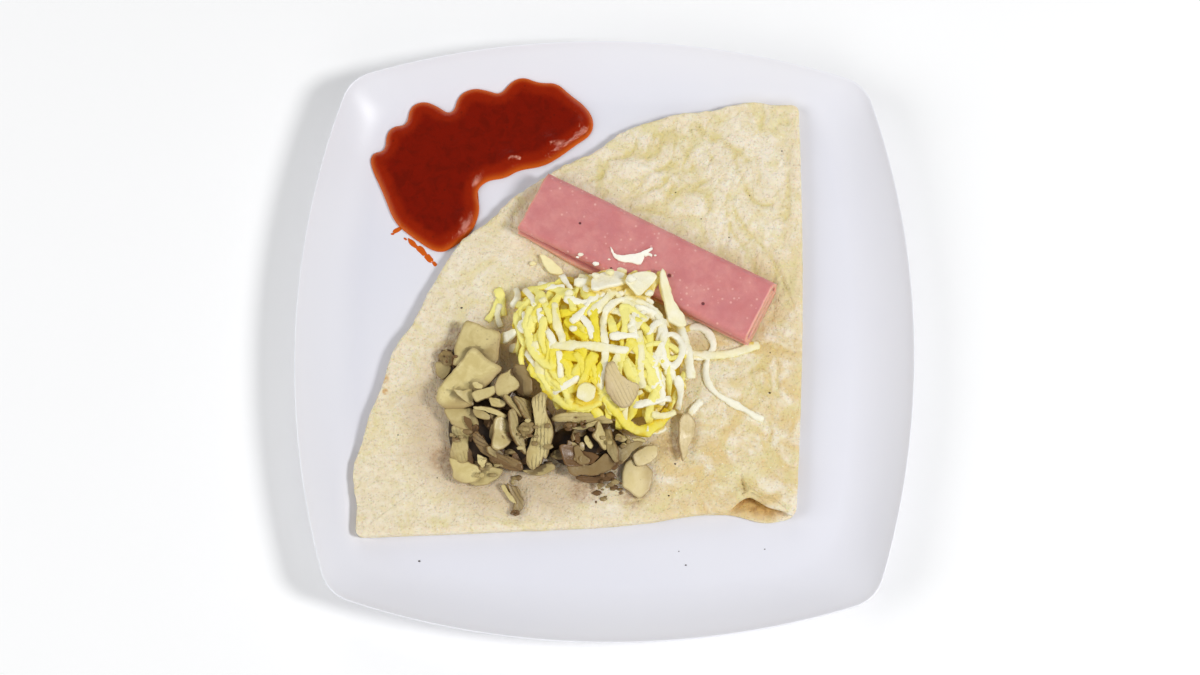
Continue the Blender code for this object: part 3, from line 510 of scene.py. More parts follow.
def crepe_outline(spokes):
    """The edge from above, anticlockwise from the apex."""
    dense = []
    steps = 200
    right_tip, front_tip = heading_of(RIGHT_FOLD_ANGLE), heading_of(FRONT_FOLD_ANGLE)
    for i in range(steps):
        share = i / steps
        bow = 2.2 * MM * math.sin(math.pi * share)
        dense.append(APEX + right_tip * CREPE_RADIUS * share + Vector((bow, 0.0)))
    for i in range(steps * 2):
        angle = RIGHT_FOLD_ANGLE + (FRONT_FOLD_ANGLE - RIGHT_FOLD_ANGLE) * i / (steps * 2)
        ragged = 1.1 * math.sin(11 * angle) + 0.8 * math.sin(23 * angle + 1)
        ragged += 0.5 * math.sin(41 * angle + 2) + 0.9 * noise.noise(Vector((angle * 60, 3.1, 0)))
        dense.append(APEX + heading_of(angle) * (CREPE_RADIUS + ragged * MM))
    for i in range(steps):
        distance = CREPE_RADIUS * (1 - i / steps)
        dip = 3.6 * MM * math.exp(-(((distance - 0.036) / 0.024) ** 2))
        bulge = 2.6 * MM * math.exp(-(((distance - 0.013) / 0.007) ** 2))
        dense.append(APEX + front_tip * distance + Vector((0.0, dip - bulge)))
    spaced = evenly_spaced(dense, spokes * 2)
    reach = round(0.0055 / (spaced[1] - spaced[0]).length)
    rounded = []
    for i in range(len(spaced)):
        offset = spaced[i] - APEX
        angle = math.atan2(offset.y, offset.x) % (2 * math.pi)
        from_folds = min(angle - RIGHT_FOLD_ANGLE, FRONT_FOLD_ANGLE - angle)
        along_fold = offset.length < CREPE_RADIUS * 0.96 or from_folds < 0.06
        span = reach if along_fold else max(1, reach // 4)
        near = [spaced[(i + k) % len(spaced)] for k in range(-span, span + 1)]
        rounded.append(sum(near, Vector((0.0, 0.0))) / len(near))
    return evenly_spaced(rounded, spokes)


# %% [markdown]
# ## Wrinkles
# A soft pancake wrinkles in rounded swellings about a centimetre wide with narrow creases between
# them, more so towards the back corner, where it folded while it was still moist. Warping the place
# before it goes into the noise turns round bumps into winding ones.

# %% Measure the wrinkles at a point
def swellings(x, y, heading, long, narrow, seed):
    """Rounded swellings that run that way, 1 on top and 0 in the creases between them."""
    spot = turned(Vector((x, y)), -heading)
    return min(1.0, 3.2 * abs(rough(spot.x / long * narrow, spot.y, narrow, seed))) ** 0.7


def wrinkles(x, y):
    """Height in mm of the swellings and creases, about -1.1 to 0.7."""
    u, v = x + 0.009 * rough(x, y, 0.021, 3.3), y + 0.009 * rough(x, y, 0.021, 7.7)
    to_the_right = smooth_step(0.010, 0.055, x)
    left = swellings(u, v, math.radians(32), 0.021, 0.0082, 1.5)
    right = swellings(u, v, math.radians(112), 0.021, 0.0078, 4.5)
    broad = swellings(u, v, math.radians(80), 0.030, 0.0150, 6.5)
    soft, fine = rough(x, y, 0.009, 9.1), rough(x, y, 0.0027, 2.2)
    narrow = left + (right - left) * to_the_right
    crinkle = swellings(u, v, math.radians(60), 0.008, 0.0042, 8.5)
    swollen = 0.72 * (narrow - 0.75) + 0.40 * (broad - 0.75) + 0.36 * (crinkle - 0.75)
    return swollen + 0.22 * soft + 0.12 * fine


def wrinkled(x, y):
    """How strongly the crepe is wrinkled: most at the back corner, least on the left."""
    back_corner = smooth_step(-0.05, 0.07, 0.55 * x + 0.65 * y)
    return (0.42 + 0.95 * back_corner) * (1 - 0.92 * pressed(x, y))


def slit(x, y):
    """1 in the short slit of the front corner, and a share of the flap that stands up right of it."""
    along = smooth_step(-0.0725, -0.069, y) * (1 - smooth_step(-0.064, -0.058, y))
    across = x - 0.0580 - 0.0009 * math.sin((y + 0.070) * 420)
    flap = math.exp(-across / 0.005) * smooth_step(0.0004, 0.0014, across)
    return along * math.exp(-((across / 0.0007) ** 2)), along * flap


# %% [markdown]
# ## Crepe colours
# The batter is pale cream and whiter in blooms about a centimetre and a half wide. The tops of the
# swellings are painted whiter, as light, and the creases are painted darker and yellower, as shade.
# It is golden where it touched the pan, so a few patches and the right side are yellower, and tiny
# pores are darker than the skin round them. Near the mushrooms it is damp and greyer. The hollows of
# the mouth and the slit are painted brown, as shade. Marks stored with the mesh say where the
# creases, the crests, the damp skin and the hollows are.

# %% Mix the crepe's finish
crust = Finish(
    "crepe pale", Subsurface_Weight=0.25, Subsurface_Radius=(2.0, 1.3, 0.6), Subsurface_Scale=MM,
)
patches = crust.cloud(13, 5, 0.62, 1.1)
grain = crust.cloud(2.4, 4, 0.6)
pores = 1 - crust.between(crust.cells(1.15), 0.12, 0.42)
dots = 1 - crust.between(crust.cells(3.1), 0.06, 0.13)
damp = crust.mark("damp")
blooms = crust.cloud(17, 4, 0.62, 0.9)
cream = crust.mix(crust.between(grain, 0.30, 0.72), (232, 217, 184), (242, 230, 204))
cream = crust.mix(crust.between(blooms, 0.50, 0.66) * 0.5, cream, (246, 238, 220))
# painted light: the tops of the swellings are whiter, as if lit
cream = crust.mix(crust.mark("lit_crest") * 0.45, cream, (248, 240, 222))
toasted = crust.near((58, -42, 12), 66) * 0.95 + crust.near((66, 20, 12), 40) * 0.4
toasted = toasted * (1 - crust.between(blooms, 0.40, 0.60))
golden = crust.mix(toasted, cream, (226, 200, 142))
golden = crust.mix(crust.between(patches, 0.46, 0.66) * 0.65, golden, (227, 213, 154))
# painted shade: the creases between the swellings are darker and yellower
golden = crust.mix(crust.mark("crease_shade") * 0.70, golden, (218, 200, 126))
golden = crust.mix(pores * 0.16, golden, (196, 166, 104))
golden = crust.mix(dots * crust.between(patches, 0.40, 0.55) * 0.7, golden, (250, 245, 228))
golden = crust.mix(damp * 0.62, golden, (203, 178, 145))

# %% Stain, shade and toast single spots of the crepe
JUICE_AND_SHADOW_SPOTS = (
    (-62.5, 1, 5.5), (-66.5, -54, 8), (12, -69, 7), (29.5, -47, 7), (-8, -66, 8), (-66, -8, 8),
)
SCORCHED_SPOTS = (
    (-92.7, -19.8, 2.6), (-97.1, -5.5, 1.8), (-97.5, -26.3, 1.6), (-92.1, -25.4, 1.9), (-93.4, -12, 1.5),
)
CREPE_LEVEL = 12


def spots_on(finish, spots, level=CREPE_LEVEL):
    """1 at each (x, y, radius) in mm and 0 away from them all."""
    x, y, radius = spots[0]
    total = finish.near((x, y, level), radius)
    for x, y, radius in spots[1:]:
        total = total + finish.near((x, y, level), radius)
    return total


# Brown juice stains beside the mushroom slices, partly painted as the shadows that the slices cast.
juice_and_shadow = spots_on(crust, JUICE_AND_SHADOW_SPOTS) * crust.between(grain, 0.30, 0.62)
golden = crust.mix(juice_and_shadow * 0.55, golden, (158, 112, 66))
scorch = spots_on(crust, SCORCHED_SPOTS) * crust.between(grain, 0.3, 0.55)
browned = crust.mix(scorch * 0.7, golden, (205, 150, 62))
# painted shade: the mouth's hollow and the slit are browned, as the shade inside them
hollow_shade_colour = crust.mix(crust.between(grain, 0.36, 0.64), (166, 112, 34), (208, 164, 84))
browned = crust.mix(crust.mark("hollow") * 0.9, browned, hollow_shade_colour)
puckers = crust.between(crust.cloud(3.8, 3, 0.5, 0.5), 0.34, 0.60)
pitted = crust.relief(1 - pores, 0.16)
pitted = crust.relief(puckers, 0.26, pitted)
pitted = crust.relief(grain, 0.20, pitted)
crust.wear(browned, 0.62 - 0.18 * damp + 0.1 * grain, pitted)

# %% [markdown]
# ## The layered side
# A fold is a soft double lip, because two folded layers lie on each other. At the round edge all
# four layers show, each a little further in than the one below. At the front corner the upper leaf
# gapes like a mouth. Three profiles describe these, and the crepe changes from one to the next as
# it goes round. Each pair says how many mm in from the outline it is, and how high as a share of
# the thickness.

# %% Draw the crepe's side
CREPE_SPOKES = 700
FOLD_SIDE = (
    (2.2, 0), (1.1, 0.03), (0.4, 0.09), (0.05, 0.18), (0, 0.27), (0.2, 0.36), (0.7, 0.43),
    (1.3, 0.475), (1.6, 0.50), (1.3, 0.525), (0.7, 0.57), (0.2, 0.64), (0, 0.73), (0.05, 0.82),
    (0.4, 0.91), (1.1, 0.97), (2.6, 1.0),
)
FREE_SIDE = (
    (0.8, 0), (0.1, 0.03), (0, 0.11), (0.1, 0.19), (1.0, 0.23), (0.9, 0.27), (0.5, 0.36),
    (0.6, 0.45), (1.6, 0.49), (1.6, 0.53), (0.9, 0.60), (0.6, 0.67), (1.4, 0.71), (1.2, 0.76),
    (0.2, 0.84), (0.3, 0.93), (1.1, 1.0),
)
MOUTH_SIDE = (
    (1.8, 0), (0.8, 0.03), (0.2, 0.08), (0, 0.14), (0.3, 0.22), (1.6, 0.27), (4.6, 0.29),
    (8.2, 0.30), (11.8, 0.32), (12.2, 0.50), (11.8, 0.74), (10.4, 0.80), (9.0, 0.84), (8.3, 0.92),
    (8.3, 1.06), (8.9, 1.20), (10.4, 1.26),
)
MOUTH_SHADE = (0, 0, 0, 0, 0, 0.22, 0.80, 1, 1, 1, 1, 0.9, 0.6, 0, 0, 0, 0)


def side_share(point, normal, distance, angle):
    """How much of the free edge and of the mouth a spoke has."""
    from_folds = min(angle - RIGHT_FOLD_ANGLE, FRONT_FOLD_ANGLE - angle)
    edge = smooth_step(0.03, 0.14, from_folds) if distance > CREPE_RADIUS * 0.9 else 0.0
    ahead = APEX.x - point.x
    opening = min(max((ahead - 0.002) / 0.0185, 0.0), 1.0) ** 0.5
    opening *= 1 - smooth_step(0.0208, 0.0300, ahead)
    mouth = smooth_step(0.4, 0.8, normal.y) * opening if distance < 0.0325 else 0.0
    return edge, mouth


outline = crepe_outline(CREPE_SPOKES)
side_rings = [[] for _ in FOLD_SIDE]
hollows = [[] for _ in FOLD_SIDE]
for point, normal in zip(outline, inward_normals(outline)):
    offset = point - APEX
    angle = math.atan2(offset.y, offset.x) % (2 * math.pi)
    edge, mouth = side_share(point, normal, offset.length, angle)
    inner = point + normal * 3 * MM
    thickness = crepe_thickness(inner.x, inner.y)
    spread = 1 + 0.35 * noise.noise(Vector((angle * 26, offset.length * 40, 0))) * edge
    wave = 0.35 * noise.noise(Vector((point.x, point.y, 0.4)) / 0.007)
    lifted = 1.1 * edge * smooth_step(0.35, 0.8, noise.noise(Vector((angle * 3.1, 0, 2))) + 0.5)
    profiles = zip(side_rings, FOLD_SIDE, FREE_SIDE, MOUTH_SIDE)
    for k, (ring, fold, free, gape) in enumerate(profiles):
        plain = Vector(fold).lerp(Vector(free), edge)
        inset, share = plain.lerp(Vector(gape), mouth)
        inset = inset * spread + wave * (1 - edge) * math.sin(math.pi * share)
        spot = point + normal * inset * MM
        height = plate_top(spot.x, spot.y) + REST_GAP + thickness * share + lifted * MM * 0.6
        ring.append((spot.x, spot.y, height))
        # How much painted shade the mouth's hollow gets, ring by ring.
        hollows[k].append(min(1.0, mouth * 1.5) * MOUTH_SHADE[k])
print("the side has", len(side_rings), "rings of", CREPE_SPOKES, "points")

# %% Fill in the crepe's top and bottom
TOP_ROWS = 104
middle = sum(outline, Vector((0.0, 0.0))) / len(outline)
rows = list(side_rings)
creases = [[0.0] * CREPE_SPOKES for _ in FOLD_SIDE]
lit_crests = [[0.0] * CREPE_SPOKES for _ in FOLD_SIDE]
damps = [[0.0] * CREPE_SPOKES for _ in FOLD_SIDE]


def dampness(x, y):
    """1 round the mushrooms, 0 away from them."""
    far = math.hypot((x + 0.034) / 0.047, (y + 0.036) / 0.040) + 0.12 * rough(x, y, 0.012, 4.0)
    return (1 - smooth_step(0.85, 1.25, far)) * smooth_step(-0.105, -0.085, x)


rim = side_rings[-1]
for row in range(1, TOP_ROWS):
    share = (row / TOP_ROWS) ** 1.12
    ring, crease_shade_row, lit_crest_row, damp_row, hollow_row = [], [], [], [], []
    for x, y, z in rim:
        spot = Vector((x, y)).lerp(middle, share)
        from_rim = (Vector((x, y)) - spot).length
        blend = smooth_step(0.0, 0.006, from_rim)
        height = wrinkles(spot.x, spot.y) * wrinkled(spot.x, spot.y)
        torn, flap = slit(spot.x, spot.y)
        level = crepe_top(spot.x, spot.y) + (height * blend - 1.6 * torn + 1.2 * flap) * MM
        level += (z - crepe_top(x, y)) * (1 - blend)
        ring.append((spot.x, spot.y, level))
        crease_shade_row.append(smooth_step(0.05, 0.85, -height) * blend)
        lit_crest_row.append(smooth_step(0.05, 0.45, height) * blend)
        damp_row.append(dampness(spot.x, spot.y))
        # painted shade in the slit
        hollow_row.append(0.55 * torn)
    rows.append(ring)
    creases.append(crease_shade_row)
    lit_crests.append(lit_crest_row)
    damps.append(damp_row)
    hollows.append(hollow_row)
beneath = []
for x, y, _ in side_rings[0]:
    spot = Vector((x, y)).lerp(middle, 0.2)
    beneath.append((spot.x, spot.y, plate_top(spot.x, spot.y) + REST_GAP))
rows.insert(0, beneath)
bottom_row = [[0.0] * CREPE_SPOKES]
named = {"crease_shade": creases, "lit_crest": lit_crests, "damp": damps, "hollow": hollows}
marks = {}
for label, values in named.items():
    marks[label] = [number for row in bottom_row + values for number in row] + [0.0, 0.0]
base = (middle.x, middle.y, WELL_LEVEL + REST_GAP)
tip = (middle.x, middle.y, crepe_top(middle.x, middle.y))
crepe = Batch().add(*skin(rows, (base, tip)), **marks)
crepe.piece("crepe_folded", crust, "crepe_pale", "crepe")

# %% [markdown]
# ## The rolled ham
# One thin square slice of cooked ham was rolled up and pressed flat, so its cut shows a flat spiral.
# The spiral's middle line is drawn once and given the slice's thickness, and the two faces are swept
# along the roll. The layers end a little apart, which shows at the right end.

# %% Mix the ham's finish
meat = Finish(
    "cooked ham", Subsurface_Weight=0.5, Subsurface_Radius=(3.0, 1.2, 0.8), Subsurface_Scale=MM,
)
marbling = meat.cloud(7, 5, 0.65, 0.3)
fat = 1 - meat.between(meat.cells(2.8), 0.10, 0.24)
fat = fat * meat.between(meat.cloud(6, 2), 0.42, 0.60)
fibres = meat.cloud(0.9, 3, 0.6)
pink = meat.mix(meat.between(marbling, 0.30, 0.72), (210, 131, 131), (223, 153, 148))
pink = meat.mix(meat.between(meat.cloud(14, 3), 0.52, 0.72) * 0.5, pink, (200, 118, 124))
pink = meat.mix(fat * 0.75, pink, (238, 192, 182))
pink = meat.mix(meat.mark("cut"), pink, (234, 172, 150))
holes = spots_on(meat, ((-16.2, 36.4, 0.8),), 21)
holes = holes + spots_on(meat, ((27, 24.3, 1.1), (41.3, 12.2, 0.9), (2.4, 27.2, 0.7), (-11, 47, 0.7)), 20)
# painted shade: the small holes are painted dark, as the shade inside them
pink = meat.mix(holes * 0.85, pink, (92, 34, 38))
dented = meat.relief(0 - holes, 0.5)
dented = meat.relief(fibres, 0.12, dented)
meat.wear(pink, 0.30 + 0.22 * marbling, dented)

# %% Draw the ham's cut as a flat spiral
HAM_LENGTH = 0.1112
HAM_THICKNESS = 0.0017
HAM_PITCH = 0.0020
HAM_FREE_EDGE = -0.0142
HAM_RIGHT_TURN, HAM_LEFT_TURN = 0.0108, -0.0112
HAM_INNER_TURN, HAM_INNER_END = 0.0096, -0.0080
TOPPING_GAP = 0.45 * MM


def ham_section():
    """The slice's middle line across the roll, from its free edge below to its inner end."""
    line = [Vector((HAM_FREE_EDGE, 0.0))]

    def run(start, end, level, pieces):
        for k in range(1, pieces + 1):
            line.append(Vector((start + (end - start) * k / pieces, level * HAM_PITCH)))

    def turn(across, low, high, side, upward, pieces):
        radius, centre = (high - low) / 2 * HAM_PITCH, (low + high) / 2 * HAM_PITCH
        for k in range(1, pieces + 1):
            angle = math.pi * k / pieces
            height = -math.cos(angle) if upward else math.cos(angle)
            line.append(Vector((across + side * radius * math.sin(angle), centre + radius * height)))

    run(HAM_FREE_EDGE, HAM_RIGHT_TURN, 0, 22)
    turn(HAM_RIGHT_TURN, 0, 3, 1, True, 18)
    run(HAM_RIGHT_TURN, HAM_LEFT_TURN, 3, 22)
    turn(HAM_LEFT_TURN, 1, 3, -1, False, 14)
    run(HAM_LEFT_TURN, HAM_INNER_TURN, 1, 12)
    turn(HAM_INNER_TURN, 1, 2, 1, True, 8)
    run(HAM_INNER_TURN, HAM_INNER_END, 2, 10)
    return line


# %% Sweep the ham
line = ham_section()
half = HAM_THICKNESS / 2
outer, inner = [], []
for i, point in enumerate(line):
    before, after = line[max(i - 1, 0)], line[min(i + 1, len(line) - 1)]
    along = (after - before).normalized()
    across = Vector((-along.y, along.x)) * half
    thin = 0.55 if i in (0, len(line) - 1) else 1.0
    outer.append(point - across * thin)
    inner.append(point + across * thin)
section = outer + inner[::-1]
roll_top = HAM_PITCH * 3 + half
roll_way = heading_of(HAM_HEADING)
roll_side = Vector((-roll_way.y, roll_way.x))
HAM_STATIONS = 120
ham_rings = []
for station in range(HAM_STATIONS):
    share = station / (HAM_STATIONS - 1)
    ring = []
    for point in section:
        level = (point.y + half) / (roll_top + half)
        length = HAM_LENGTH / 2 - 2.4 * MM * level * share
        length -= 0.5 * MM * (1 + noise.noise(Vector((point.x / 0.006, level * 3, share * 2))))
        along = length * (2 * share - 1)
        flap = 2.8 * MM * math.exp(-(((along + 0.022) / 0.024) ** 2))
        loose = max(0.0, 1 - level * 3) * smooth_step(0.0, HAM_FREE_EDGE, point.x)
        spot = HAM_CENTRE + roll_way * along + roll_side * (point.x - flap * loose)
        bumps = 0.28 * rough(along, point.x, 0.017, 3.0) + 0.12 * rough(along, point.x, 0.006, 8.0)
        bumps *= smooth_step(0.2, 0.9, level)
        level = crepe_top(spot.x, spot.y) + TOPPING_GAP + half + point.y
        ring.append((spot.x, spot.y, level + bumps * MM))
    ham_rings.append(ring)
points, faces = skin(ham_rings, (False, False))
count, last = len(section), (HAM_STATIONS - 1) * len(section)
for first in (0, last):
    for i in range(count // 2 - 1):
        faces.append([first + i, first + i + 1, first + count - 2 - i, first + count - 1 - i])
cut_marks = []
for i in range(len(points)):
    at_end = not count <= i < last
    cut_marks.append(1.0 if i % count in (0, count - 1) or at_end else 0.0)
ham = Batch().add(points, faces, cut=cut_marks)
ham.piece("ham_rolled", meat, "cooked_ham", "ham")

# %% [markdown]
# ## What lies on what
# Grated cheese and sliced mushrooms are piled: each new piece rests on those below it. A grid of
# heights remembers the top of the pile. Every strand reads it along its way, bridges the dips as a
# stiff strand would, and then raises it.

# %% Remember the top of the pile
CHEESE_CENTRE = Vector((-0.0020, -0.0080))
CHEESE_HEADING = math.radians(-28)
CHEESE_CORE = (0.0370, 0.0265, 0.0109)
CHEESE_REACH = (0.0440, 0.0330, 0.0180)


def dome_height(x, y, radii):
    """How far a mound stands above the crepe at a point."""
    spot = turned(Vector((x, y)) - CHEESE_CENTRE, -CHEESE_HEADING)
    return radii[2] * math.sqrt(max(0.0, 1 - (spot.x / radii[0]) ** 2 - (spot.y / radii[1]) ** 2))


def ham_top(x, y):
    """Height of the ham above the crepe, 0 where there is none."""
    along, across = ham_frame(x, y)
    if abs(along) > HAM_LENGTH / 2 or not HAM_FREE_EDGE < across < 0.0138:
        return 0.0
    low_flap = smooth_step(HAM_FREE_EDGE + 0.0005, HAM_FREE_EDGE + 0.003, across)
    return TOPPING_GAP + HAM_THICKNESS + HAM_PITCH * 3 * low_flap


class Pile:
    """Heights on a grid of cells, for pieces to rest on."""

    def __init__(self, low, high, cell):
        self.low, self.cell = low, cell
        self.shape = [int((b - a) / cell) + 1 for a, b in zip(low, high)]
        self.top = np.zeros(self.shape)
        for i in range(self.shape[0]):
            for j in range(self.shape[1]):
                x, y = low[0] + i * cell, low[1] + j * cell
                self.top[i, j] = crepe_top(x, y) + max(dome_height(x, y, CHEESE_CORE), ham_top(x, y))

    def window(self, x, y, reach):
        i, j = (x - self.low[0]) / self.cell, (y - self.low[1]) / self.cell
        k = reach / self.cell
        rows = slice(max(int(i - k + 0.5), 0), max(int(i + k + 1.5), 1))
        return self.top[rows, max(int(j - k + 0.5), 0):max(int(j + k + 1.5), 1)]

    def height(self, x, y, reach):
        return float(self.window(x, y, reach).max())

    def raise_to(self, x, y, reach, level):
        np.maximum(self.window(x, y, reach), level, out=self.window(x, y, reach))


def how_buried(batch, depth):
    """For every point, how far below the top of the pile it is, as a share of a depth in mm."""
    return [(pile.height(x, y, 0.3 * MM) - z) / (depth * MM) for x, y, z in batch.points]


pile = Pile((-0.078, -0.082), (0.080, 0.046), 0.6 * MM)
print("pile grid:", pile.shape, "highest", round(pile.top.max() / MM, 1), "mm")

# %% [markdown]
# ## Mushroom colours
# Canned mushrooms are khaki where the flesh is cut, browner at the rim, and grey to purple in the
# caps and gills. The brine keeps them slightly shiny. Each slice carries a tone, which is partly its
# own colour and partly painted shade on slices that lie low or in the shade of others; the darkest
# tones are nearly black, as the shade deep in the gaps. The side walls and the underside are browned,
# partly as skin and partly as painted shade. The place across a slice draws the gills as fine dark
# lines and paints one side of the slice darker, as shade, and points deep under the top of the pile
# are painted dark brown, as shade.

# %% Mix the mushroom finishes
def mushroom_finish(name, pale, warm, grey):
    made = Finish(name, Coat_Weight=0.15, Coat_Roughness=0.18, Specular_IOR_Level=0.40)
    tone, gilled = made.mark("tone"), made.mark("gill")
    blotch = made.cloud(5.5, 4, 0.6, 0.5)
    flesh = made.mix(made.between(blotch, 0.35, 0.65), pale, warm)
    flesh = made.mix(made.each() * 0.16, flesh, grey)
    # partly painted shade: the tone greys caps and darkens slices that lie low or in the shade of others
    flesh = made.mix(tone, flesh, grey)
    # partly painted shade: the rim mark browns the skin at the rim and darkens the side walls and underside
    flesh = made.mix(made.mark("rim") * 0.75, flesh, (118, 80, 42))
    waves = made.node("Math", {"operation": "SINE"}, {0: made.mark("across") * 4.2 + 9 * blotch})
    lines = made.between(waves, 0.45, 1.0) * gilled * made.between(made.cloud(7, 2), 0.30, 0.55)
    flesh = made.mix(lines * 0.6, flesh, (92, 70, 48))
    freckles = 1 - made.between(made.cells(1.5), 0.10, 0.32)
    flesh = made.mix(freckles * made.between(blotch, 0.5, 0.7) * 0.5, flesh, (110, 88, 66))
    # painted shade: points deep under the top of the pile are darkened, as the shade between the slices
    flesh = made.mix(made.between(made.mark("buried"), 0.25, 1.1) * 0.75, flesh, (84, 60, 38))
    # painted shade: tones above 1.05, as on the mounds, turn nearly black, as the shade deep in the gaps
    flesh = made.mix(made.between(tone, 1.05, 1.6), flesh, (44, 33, 25))
    dips = made.relief(0 - lines, 0.35)
    dips = made.relief(made.cloud(1.1, 3, 0.6), 0.22, dips)
    # painted shade: one side of each slice, across its long axis, is painted darker, as shade
    edge = made.between(made.mark("across"), 1.0, 5.0)
    flesh = made.mix(edge * 0.35, flesh, (150, 116, 76))
    return made.wear(flesh, 0.26 + 0.22 * blotch, dips)


flesh_finish = mushroom_finish("mushroom flesh", (213, 194, 130), (230, 213, 152), (116, 86, 52))
pale_finish = mushroom_finish("mushroom pale", (228, 209, 150), (236, 218, 166), (176, 142, 122))

# %% [markdown]
# ## Slices
# A slice is drawn as its outline from above, with the height of its middle and the slope it leans
# at. It is skinned with a narrow rounded rim and curled a little, because cooked slices are limp.

# %% Make a slice and a crumb
LYING_RINGS = (
    (0.3, -0.5), (0.6, -0.5), (0.86, -0.5), (0.96, -0.46), (0.993, -0.30), (1.0, 0.0),
    (0.993, 0.30), (0.96, 0.46), (0.86, 0.5), (0.74, 0.5), (0.6, 0.5), (0.45, 0.5), (0.3, 0.5),
    (0.15, 0.5),
)


def over_crepe(x, y, lift):
    """A point in mm from above, lifted that many mm over the crepe."""
    return Vector((x * MM, y * MM, crepe_top(x * MM, y * MM) + lift * MM))


def rest_plane(line, middle):
    """Slope and height of a flat slice that rests on the pile."""
    tops = np.array([pile.height(p.x, p.y, 1.2 * MM) for p in line])
    rows = np.array([(p.x - middle.x, p.y - middle.y, 1.0) for p in line])
    fit = np.linalg.lstsq(rows, tops, rcond=None)[0]
    gap = min(float((tops - rows @ fit).max()), 1.2 * MM)
    return Vector(fit[:2]), float(fit[2]) + 0.6 * gap


def lying(
    batch, corners, lift, slope=(0.0, 0.0), thickness=1.8, tone=0.1, gill=0.0, curl=0.3, on_pile=False,
):
    """A slice from its corners (x, y), with its middle lifted over the crepe or the pile, in mm."""
    line = evenly_spaced(cut_corners([Vector(corner) * MM for corner in corners], 2, share=0.16), 52)
    nicked = []
    for p, normal in zip(line, inward_normals(line)):
        nick = 0.30 * rough(p.x, p.y, 0.0030, tone) + 0.18 * rough(p.x, p.y, 0.0012, thickness)
        nicked.append(p + normal * nick * MM)
    line = nicked
    middle = sum(line, Vector((0, 0))) / len(line)
    reach = max((p - middle).length for p in line)
    rise, base = rest_plane(line, middle) if on_pile else (Vector(slope), crepe_top(*middle))
    normal = Vector((-rise.x, -rise.y, 1.0)).normalized()
    longest = max((p - middle for p in line), key=lambda offset: offset.length).normalized()
    rings, marks = [], {"rim": [], "across": []}
    for scale, side in LYING_RINGS:
        ring = []
        for p in line:
            offset = (p - middle) * scale
            x, y = middle + offset
            level = base + offset.dot(rise) + (lift + curl * (offset.length / reach) ** 2) * MM
            warp = 0.60 * rough(x, y, 0.0065, lift) + 0.12 * rough(x, y, 0.0024, lift)
            warp += 0.05 * rough(x, y, 0.0011, lift)
            ring.append(Vector((x, y, level)) + normal * (side * thickness + warp) * MM)
            # rim mark: 1 on the side walls and underside, 0.45 round the top edge; browned partly as skin
            # and partly as painted shade
            marks["rim"].append(1.0 if scale > 0.9 and side < 0.2 else 0.45 if scale > 0.9 else 0.0)
            marks["across"].append(longest.cross(offset) / MM)
            if side > 0.3:
                pile.raise_to(x, y, 1.3 * MM, ring[-1].z)
        rings.append(ring)
    marks = {name: values + [0.0, 0.0] for name, values in marks.items()}
    batch.add(*skin(rings), tone=tone, gill=gill, crown=1.0, **marks)


def lump(batch, spot, radii, tone=0.5, seed=0.0, spokes=10, levels=6):
    """A small irregular crumb, from its middle and three radii in mm."""
    rings = []
    for level in range(1, levels):
        around = math.pi * level / levels
        ring = []
        for k in range(spokes):
            turn = 2 * math.pi * k / spokes
            flat = math.sin(around)
            way = Vector((flat * math.cos(turn), flat * math.sin(turn), -math.cos(around)))
            size = 1 + 0.45 * noise.noise(way * 1.3 + Vector((seed, seed * 0.7, 0)))
            ring.append(Vector(spot) + Vector([w * r * MM * size for w, r in zip(way, radii)]))
        rings.append(ring)
    points, faces = skin(rings)
    batch.add(points, faces, tone=tone, gill=0.0, rim=0.0, across=0.0, crown=1.0)
